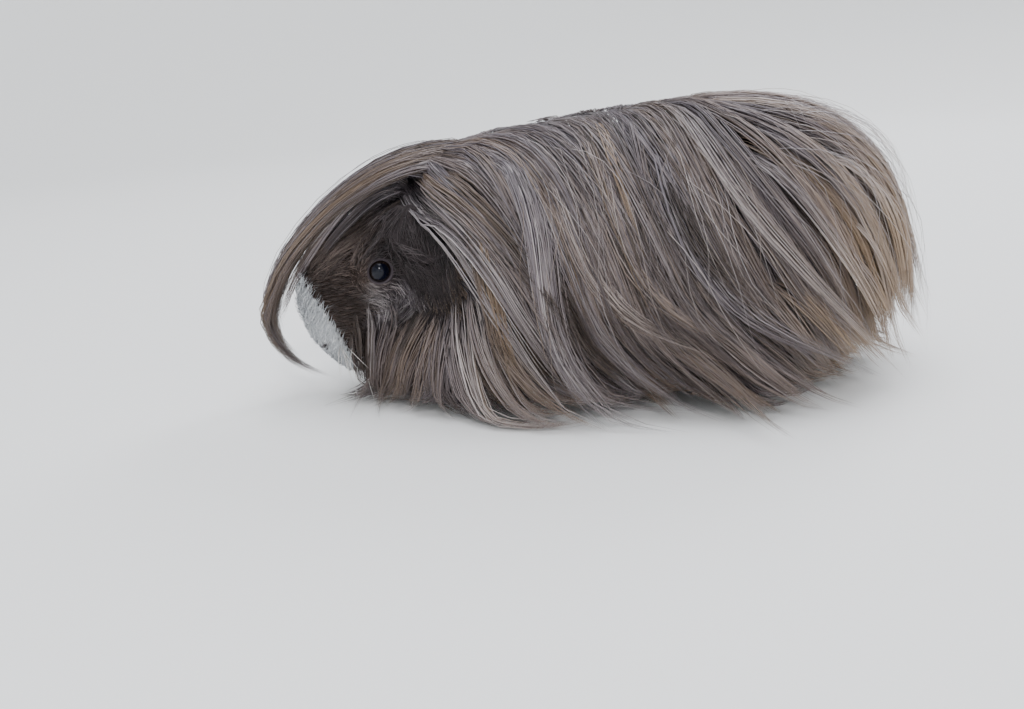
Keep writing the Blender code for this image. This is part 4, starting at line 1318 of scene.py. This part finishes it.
def makeBodyCoat():
    rng = np.random.default_rng(11)
    locks = layOutLocks(rng)
    owner, points, facing, widths, look = fillLocks(rng, locks, *traceLocks(rng, locks))
    far, sides = np.abs(locks["s"][owner]), np.sign(locks["s"][owner])
    short = ((locks["length"] < coatSettings["shortBelow"]) & ~locks["own"])[owner]
    for sign, word in ((-1, "left"), (1, "right")):
        under = np.where((sides == sign) & short)[0]
        members = np.where((sides == sign) & ~short)[0]
        members = members[np.argsort(far[members], kind="stable")]
        # the under coat does with every second ring
        groups = [("under", under, 2)]
        groups += [(part, chosen, 1) for part, chosen in
                   zip(("rump", "flank", "side", "shoulder"), np.array_split(members, 4))]
        for part, chosen, every in groups:
            piece = makeStrands(f"coat_{part}_{word}", points[chosen, ::every], facing[chosen, ::every],
                                widths[chosen, ::every], look[chosen], longHair, 0.45)
    print("body coat made:", len(owner), "strands in", len(locks["s"]), "locks")


makeBodyCoat()


# forelock

forelockSettings = {
    "rings": 13,
    "width": 0.00046,
    # lines in the middle plane, from the crown over the brow
    "paths": {
        "long": ((-0.0230, 0.1010), (-0.0400, 0.1045), (-0.0590, 0.1044), (-0.0775, 0.1000),
                 (-0.0948, 0.0915), (-0.1118, 0.0790), (-0.1278, 0.0620), (-0.1373, 0.0430),
                 (-0.1363, 0.0260), (-0.1273, 0.0130), (-0.1108, 0.0034)),
        "fringe": ((-0.0560, 0.0930), (-0.0690, 0.0965), (-0.0830, 0.0935), (-0.0960, 0.0850),
                   (-0.1070, 0.0755), (-0.1155, 0.0650), (-0.1205, 0.0540), (-0.1230, 0.0440),
                   (-0.1240, 0.0350)),
        "brow": ((-0.0540, 0.0875), (-0.0660, 0.0900), (-0.0780, 0.0875), (-0.0890, 0.0805),
                 (-0.0985, 0.0710), (-0.1060, 0.0610)),
    },
    # on which line, how many locks, strands in each, sideways from and to, where the locks end,
    # half-width of a lock, and how far inside the line it may fall
    "groups": (
        ("long", 9, 24, -0.85, 0.85, 0.96, 1.00, 0.0022, 0.0015),
        ("long", 13, 26, -1.00, 1.00, 0.74, 0.90, 0.0024, 0.0050),
        ("long", 14, 26, -1.00, 1.00, 0.62, 0.80, 0.0026, 0.0110),
        ("long", 15, 26, -1.00, 1.00, 0.44, 0.62, 0.0032, 0.0030),
        ("fringe", 9, 22, -0.90, 0.90, 0.42, 0.66, 0.0034, 0.0030),
        ("fringe", 11, 24, 0.15, 1.00, 0.72, 1.00, 0.0024, 0.0025),
        ("fringe", 9, 24, -1.00, -0.20, 0.72, 1.00, 0.0024, 0.0025),
        ("brow", 12, 18, -0.95, 0.95, 0.60, 1.00, 0.0034, 0.0020),
    ),
    # half-width of the whole forelock along a line
    "halfWidth": ((0, 0.20, 0.36, 0.54, 0.70, 0.86, 1),
                  (0.0120, 0.0175, 0.0180, 0.0150, 0.0080, 0.0028, 0.0014)),
    "camber": 0.30,             # how much the sides fall below the middle
    "tuck": 0.006,              # how far the roots are pressed down
    "layers": (-0.0016, 0.0014),
    "starts": (0.0, 0.12),
    "hairEnds": (0.86, 1.0),
    "narrowing": 0.85,
    "sway": 0.0014,
    "wave": 0.00028,
    "stray": (0.10, 4.0),       # the share of hairs that stray, and how much more they wave
    "tone": (0.32, 0.13, 0.16),         # usual, and its spread between locks and between hairs
    "gold": (0.06, 0.12, 0.05),
}


def pathPoint(path, t):
    # a smooth curve through the points of a line in the middle plane
    knots = np.linspace(0, 1, len(path))
    values = np.array(path, float)
    slopes = np.gradient(values, knots, axis=0)
    i = np.clip(np.searchsorted(knots, t) - 1, 0, len(path) - 2)
    h = knots[1]
    f = ((t - knots[i]) / h)[..., None]
    point = values[i] * (1 + 2 * f) * (1 - f) ** 2 + values[i + 1] * f * f * (3 - 2 * f)
    return point + h * slopes[i] * f * (1 - f) ** 2 - h * slopes[i + 1] * f * f * (1 - f)


def forelockLock(rng, line, strands, aside, shortest, longest, half, inside):
    # one lock beside a line in the middle plane: its strands, their facing and their look
    settings = forelockSettings
    path = settings["paths"][line]
    t = np.linspace(0, 1, settings["rings"])[None]
    layer = rng.uniform(*settings["layers"])
    inner = rng.uniform(0, inside)
    end, start = rng.uniform(shortest, longest), rng.uniform(*settings["starts"])
    side0 = rng.uniform(-1, 1, strands)
    begin = start + rng.uniform(0, 1, (strands, 1)) ** 2 * 0.10
    u = begin + (end - begin) * rng.uniform(*settings["hairEnds"], (strands, 1)) * t
    middle = pathPoint(path, u)
    ahead = unit(pathPoint(path, np.minimum(u + 0.01, 1)) - pathPoint(path, np.maximum(u - 0.01, 0)))
    outX, outZ = ahead[..., 1], -ahead[..., 0]
    wide = np.interp(u, *settings["halfWidth"])
    taper = half * (1 - settings["narrowing"] * ((u - start) / (end - start)) ** 2)
    across = aside * wide + side0[:, None] * np.minimum(taper, wide)
    across += rng.normal(0, settings["sway"]) * np.sin(pi * t * rng.uniform(0.8, 1.6))
    rise = layer * smoothStep(0, 0.2, t) * (0.4 + 0.6 * (wide > 0.006))
    rise = rise - inner * smoothStep(0.3, 0.62, u) + rng.uniform(-0.0008, 0.0004, (strands, 1))
    rise = rise - settings["camber"] * across ** 2 / np.maximum(wide, 0.004) * (u < 0.7)
    rise = rise - settings["tuck"] * smoothStep(0.10, 0.0, u - begin)
    points = np.stack((middle[..., 0] + outX * rise, across, middle[..., 1] + outZ * rise), -1)
    facing = np.stack((outX, across / 0.03, outZ), -1)
    usual, perLock, perHair = settings["tone"]
    tone = usual + rng.normal(0, perLock) + rng.normal(0, perHair, strands)
    usual, perLock, perHair = settings["gold"]
    gold = np.clip(rng.normal(usual, perLock) + rng.normal(0, perHair, strands), 0, 0.6)
    return points, facing, np.stack((np.clip(tone, 0.02, 1), gold), 1)


def makeForelock():
    rng = np.random.default_rng(23)
    settings = forelockSettings
    rings = settings["rings"]
    parts = []
    for line, locks, strands, first, last, *shape in settings["groups"]:
        for i in range(locks):
            aside = first + (last - first) * (i + rng.uniform(0.1, 0.9)) / locks
            parts.append(forelockLock(rng, line, strands, aside, *shape))
    points, facing, look = (np.concatenate(arrays) for arrays in zip(*parts))
    points[..., 2] = np.maximum(points[..., 2], 0.0006)
    t = np.linspace(0, 1, rings)[None]
    share, further = settings["stray"]
    stray = np.where(rng.random(len(points)) < share, further, 1.0)[:, None, None]
    points += settings["wave"] * stray * rng.normal(0, 1, (len(points), 1, 3)) * np.sin(3 * t)[..., None]
    points[..., 2] = np.maximum(points[..., 2], 0.0004)
    widths = strandWidths(len(points), rings, settings["width"], rng) * (0.2 + 0.8 * smoothStep(0, 0.16, t))
    piece = makeStrands("coat_forelock", points, facing, widths, look, longHair, 0.45)
    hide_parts("forelock")
    print("forelock made:", len(points), "strands")


makeForelock()


# short fur of the face, ears and feet

furSettings = {
    "disorder": 0.11,
    "lengths": (0.65, 1.25),    # shares of the usual length, and of the usual standing off
    "stands": (0.35, 1.0),
    "rooted": 0.0002,           # how far the roots are inside the skin
}
faceSettings = {
    "strands": 12500,
    "rings": 4,
    "width": 0.00032,
    "bareEye": 0.0053,
    # on the head: how far back it reaches, how far aside, and from and to how far up
    "area": (0.080, 0.046, -0.028, 0.036),
    # by distance back from the nose's tip: how dense it is, how long and how far it stands off
    "density": ((0, 0.02, 0.05, 0.08), (2.6, 1.7, 1.0, 0.6)),
    "length": ((0, 0.008, 0.02, 0.04, 0.07), (0.0036, 0.0048, 0.0062, 0.0090, 0.0130)),
    "stand": ((0, 0.010, 0.022, 0.040, 0.060), (0.0012, 0.0018, 0.0026, 0.0040, 0.0056)),
    "jawLength": 0.010,         # how much longer it is under the jaw
    "tone": (0.45, 0.10, 0.20), # usual, its change in waves, and its spread between hairs
    "browLighter": 0.12,
    "muzzleDarker": 0.14,
    "belowEarGold": 0.45,
}
feetSettings = {
    "strands": 1400,
    "rings": 4,
    "width": 0.00034,
    # how high the fur grows, the forefeet from and to X, the hind feet from X, and how far out
    "heights": (0.0015, 0.026),
    "fore": (-0.075, -0.044),
    "hind": 0.036,
    "inside": 0.012,
    "length": 0.0048,
    "stand": 0.0011,
}
whiskerSettings = {
    "count": 15,
    "rings": 9,
    "width": 0.00022,
    "lengths": (0.014, 0.026),
    "roots": ((0.004, 0.013), (0.008, 0.013), (-0.014, -0.002)),    # how far back, out and up
}


def skinCorners():
    # the skin's triangles, with their facings and areas
    mesh = skin.data
    mesh.calc_loop_triangles()
    corners = np.zeros(len(mesh.loop_triangles) * 3, np.int32)
    mesh.loop_triangles.foreach_get("vertices", corners)
    corners = readPoints(mesh)[corners.reshape(-1, 3)]
    normals = np.cross(corners[:, 1] - corners[:, 0], corners[:, 2] - corners[:, 0])
    return corners, unit(normals), np.linalg.norm(normals, axis=1) / 2


def eyeGap(points):
    return np.min([np.linalg.norm(points - place, axis=1) for place in eyePlaces.values()], 0)


def growOnSkin(rng, chance, count, rings, lieOf):
    # strands that start on the skin and follow it, rising off it towards the tip
    corners, normals, areas = skinParts
    picks = rng.choice(len(areas), count, p=chance / chance.sum())
    mix = rng.dirichlet((1, 1, 1), count)
    roots = (corners[picks] * mix[..., None]).sum(1)
    lie, length, stand = lieOf(roots)
    lie = unit(lie + rng.normal(0, furSettings["disorder"], (count, 3)))
    length = length * rng.uniform(*furSettings["lengths"], count)
    stand = stand * rng.uniform(*furSettings["stands"], count)
    points = np.zeros((count, rings, 3))
    outward = np.zeros((count, rings, 3))
    for k in range(rings):
        t = k / (rings - 1)
        target = roots + lie * (length * t)[:, None]
        rise = stand * (1 - (1 - t) ** 2)
        for i in range(count):
            place, facing = skinTree.find_nearest(Vector(target[i]))[:2]
            points[i, k] = place
            outward[i, k] = facing
        points[:, k] += outward[:, k] * rise[:, None]
    points[:, 0] = roots - normals[picks] * furSettings["rooted"]
    points[..., 2] = np.maximum(points[..., 2], 0.0006)
    return points, outward


def onBlaze(station, up):
    # the markings' own blaze, without its ragged edge
    back, lean = markAndShadeSettings["blazeBack"]
    return (station < back + lean * up) & (up > markAndShadeSettings["blazeLow"])


def faceLie(points):
    # which way the fur lies, how long it is and how far it stands off, from the place on the head
    station, side, up = toHead(points).T
    outwards = headLeft[None] * np.sign(side)[:, None]
    forwards = -levelBack[None]
    upright = np.array((0, 0, 1.0))[None]
    blaze = onBlaze(station, up)
    behind = smoothStep(0.050, 0.060, station)
    temple = smoothStep(0.016, 0.022, up) * smoothStep(0.026, 0.036, station)
    cheek = smoothStep(0.007, -0.004, up) * smoothStep(0.010, 0.022, station)
    cheek = np.maximum(cheek, behind)
    rearward = headBack[None] * 0.35 - forwards * 0.9 + outwards * 0.35
    downward = -upright + forwards * (0.28 - 0.5 * behind)[:, None] + outwards * 0.25
    forward = forwards * 0.9 - upright * 0.30 + outwards * 0.25
    white = headBack[None] * 0.45 + headUp[None] * 0.45 + outwards * 0.75
    lie = rearward * (1 - cheek)[:, None] + downward * cheek[:, None]
    lie = lie * (1 - temple)[:, None] + forward * temple[:, None]
    lie = np.where(blaze[:, None], white, lie)
    # the fur parts round each eye
    for place in eyePlaces.values():
        away = unit(points - place)
        towards = np.minimum((unit(lie) * away).sum(-1), 0)
        beside = smoothStep(0.0160, 0.0070, np.linalg.norm(points - place, axis=1))
        lie = lie + away * ((0.30 - 1.2 * towards) * beside)[:, None]
    # short beside the eye and on the ear, longer on the cheek and jaw, fluffy at the blaze's top
    clear = smoothStep(0.0052, 0.0130, eyeGap(points))
    fluff = smoothStep(0.008, 0.016, up) * blaze
    onEar = smoothStep(0.056, 0.062, station) * smoothStep(0.008, 0.016, up)
    jaw = smoothStep(-0.006, -0.016, up) * smoothStep(0.020, 0.030, station) * (1 - blaze)
    length = np.interp(station, *faceSettings["length"]) * (1 + 1.3 * cheek + 0.8 * temple)
    length = length * (0.35 + 0.65 * clear) * (1 - 0.45 * onEar) * (1 + 0.4 * fluff)
    stand = np.interp(station, *faceSettings["stand"]) * (0.10 + 0.90 * clear)
    stand = stand * (1 + 1.3 * fluff) * (1 - 0.65 * onEar)
    return unit(lie), length + faceSettings["jawLength"] * jaw, stand


def footLie(points):
    # forwards over the foot, down the leg
    low = 1 - smoothStep(0.008, 0.016, points[:, 2])[:, None]
    lie = np.array((-1.0, 0, -0.25))[None] * low + np.array((-0.15, 0, -1.0))[None] * (1 - low)
    return lie, np.full(len(points), feetSettings["length"]), np.full(len(points), feetSettings["stand"])


def makeFaceFur():
    rng = np.random.default_rng(37)
    settings = faceSettings
    corners, _, areas = skinParts
    centres = corners.mean(1)
    station, side, up = toHead(centres).T
    back, aside, lowest, highest = settings["area"]
    onFace = (station < back) & (np.abs(side) < aside) & (up > lowest) & (up < highest)
    onFace &= (eyeGap(centres) > settings["bareEye"]) & (centres[:, 2] > 0.012)
    chance = np.where(onFace, areas, 0) * np.interp(station, *settings["density"])
    points, outward = growOnSkin(rng, chance, settings["strands"], settings["rings"], faceLie)
    clear = np.ones(len(points), bool)
    for place in eyePlaces.values():        # no hair crosses an eye
        offset = points - place
        offset = np.concatenate((offset, (offset[:, 1:] + offset[:, :-1]) / 2), 1)
        flat = offset - (offset @ headLeft)[..., None] * headLeft
        near = np.linalg.norm(offset, axis=-1) < 0.016
        clear &= ~((np.linalg.norm(flat, axis=-1) < settings["bareEye"] - 0.0002) & near).any(1)
    points, outward = points[clear], outward[clear]
    roots = points[:, 0]
    station, side, up = toHead(roots).T
    usual, inWaves, perHair = settings["tone"]
    tone = usual + waves(rng, roots[:, 0] * 3, roots[:, 2] * 40, 0.02, inWaves)
    tone += rng.normal(0, perHair, len(roots))
    onBrow = smoothStep(0.014, 0.020, up) * smoothStep(0.020, 0.030, station) * (station < 0.055)
    tone += settings["browLighter"] * onBrow
    tone -= settings["muzzleDarker"] * smoothStep(0.030, 0.018, station)
    belowEar = smoothStep(0.048, 0.056, station) * smoothStep(0.006, -0.002, up) * (up > -0.016)
    golden = settings["belowEarGold"] * belowEar
    look = np.stack((np.clip(tone, 0.02, 1), golden), 1)
    widths = strandWidths(len(roots), settings["rings"], settings["width"], rng, 0.35)
    for word, members in (("left", side >= 0), ("right", side < 0)):
        piece = makeStrands("fur_face_" + word, points[members], outward[members], widths[members],
                            look[members], shortHair)


def makeFeetFur():
    rng = np.random.default_rng(41)
    settings = feetSettings
    corners, normals, areas = skinParts
    x, y, z = corners.mean(1).T
    lowest, highest = settings["heights"]
    first, last = settings["fore"]
    onFoot = (z > lowest) & (z < highest) & (normals[:, 2] > -0.5) & (np.abs(y) > settings["inside"])
    onFoot &= (x > first) & ((x < last) | (x > settings["hind"]))
    chance = np.where(onFoot, areas, 0)
    points, outward = growOnSkin(rng, chance, settings["strands"], settings["rings"], footLie)
    tone = np.clip(rng.normal(0.35, 0.15, len(points)), 0.02, 1)
    widths = strandWidths(len(points), settings["rings"], settings["width"], rng, 0.35)
    look = np.stack((tone, np.zeros(len(points))), 1)
    piece = makeStrands("fur_feet", points, outward, widths, look, shortHair)


def makeWhiskerMaterial():
    # stiff white keratin, a little translucent, darker where it leaves the skin
    material, tree = newMaterial("whiskerKeratin")
    look = addNode(tree, "ShaderNodeAttribute", {"attribute_name": "hairLook"}).outputs["Vector"]
    along = addNode(tree, "ShaderNodeSeparateXYZ", links={0: look}).outputs[1]
    colour = addRamp(tree, along, (0.0, "8f8a86"), (0.3, "e9e6e0"))
    addShader(tree, {"Roughness": 0.35, "IOR": 1.55}, {"Base Color": colour})
    return material


def makeWhiskers():
    # stiff pale hairs from the lips and chin, in a gentle curve outwards and down
    rng = np.random.default_rng(43)
    settings = whiskerSettings
    t = np.linspace(0, 1, settings["rings"])[None, :, None]
    parts = []
    for sign in (1, -1):
        for _ in range(settings["count"]):
            station, side, up = (rng.uniform(*limits) for limits in settings["roots"])
            root = np.array(skinTree.find_nearest(Vector(headPoint(station, sign * side, up)))[0])
            aim = unit(headLeft * sign * rng.uniform(0.5, 1.0) - levelBack * rng.uniform(-0.5, 0.4)
                       + np.array((0, 0, rng.uniform(-0.7, 0.0))))
            length = rng.uniform(*settings["lengths"])
            sag = np.array((0.004, 0, -0.004)) * rng.uniform(0.3, 1.0)
            parts.append(root + aim * length * t[0] + sag * t[0] ** 2)
    points = np.array(parts)
    points[..., 2] = np.maximum(points[..., 2], 0.0006)
    outward = np.tile(np.array((0, 0, 1.0)), points.shape[:2] + (1,))
    widths = strandWidths(len(points), settings["rings"], settings["width"], rng, 0.3)
    look = np.tile((1.0, 0.0), (len(points), 1))
    piece = makeStrands("whiskers", points, outward, widths, look, makeWhiskerMaterial())


skinParts = skinCorners()
makeFaceFur()
makeFeetFur()
makeWhiskers()
print("short fur and whiskers made")


# loose hairs that stand off the back and rump

looseSettings = {
    "count": 300,
    "rings": 11,
    "width": 0.00020,
    "roots": (60, 88),          # degrees up round the body
    "rootDepth": 0.3,
    "lengths": (0.060, 0.125),
    "lift": (1.10, 1.42),       # how far out they lie, 1 on the outline
}


def makeLooseHairs():
    rng = np.random.default_rng(53)
    settings = looseSettings
    count, rings = settings["count"], settings["rings"]
    s0 = rng.choice((-1, 1), count) * rng.uniform(0.004, sideEnd - 0.01, count)
    angle0 = np.radians(rng.uniform(*settings["roots"], count))
    lengths = rng.uniform(*settings["lengths"], count)
    turn, swing, start = rng.normal(0, 8, count), rng.uniform(5, 22, count), rng.uniform(0, 2 * pi, count)

    def sweepOf(s, angle, t):
        return lieOfCoat(s, angle) + turn + swing * np.sin(start + 2 * pi * t)

    s, angle = growPaths(s0, angle0, lengths, rings - 1, sweepOf)
    t = np.linspace(0, 1, rings)[None]
    top = rng.uniform(*settings["lift"], count)[:, None]
    root = settings["rootDepth"]
    depth = root + (top - root) * np.sin(pi * np.minimum(t * rng.uniform(0.6, 1.1, (count, 1)), 1)) ** 0.7
    points, outward = shellPoint(s, angle, np.minimum(depth, top))
    points[..., 2] = np.maximum(points[..., 2], 0.0006)
    look = np.stack((rng.uniform(0.6, 1.0, count), np.clip(rng.normal(0.1, 0.15, count), 0, 0.5)), 1)
    widths = strandWidths(count, rings, settings["width"], rng, 0.3)
    piece = makeStrands("coat_loose", points, outward, widths, look, longHair)


makeLooseHairs()
print("loose hairs made")
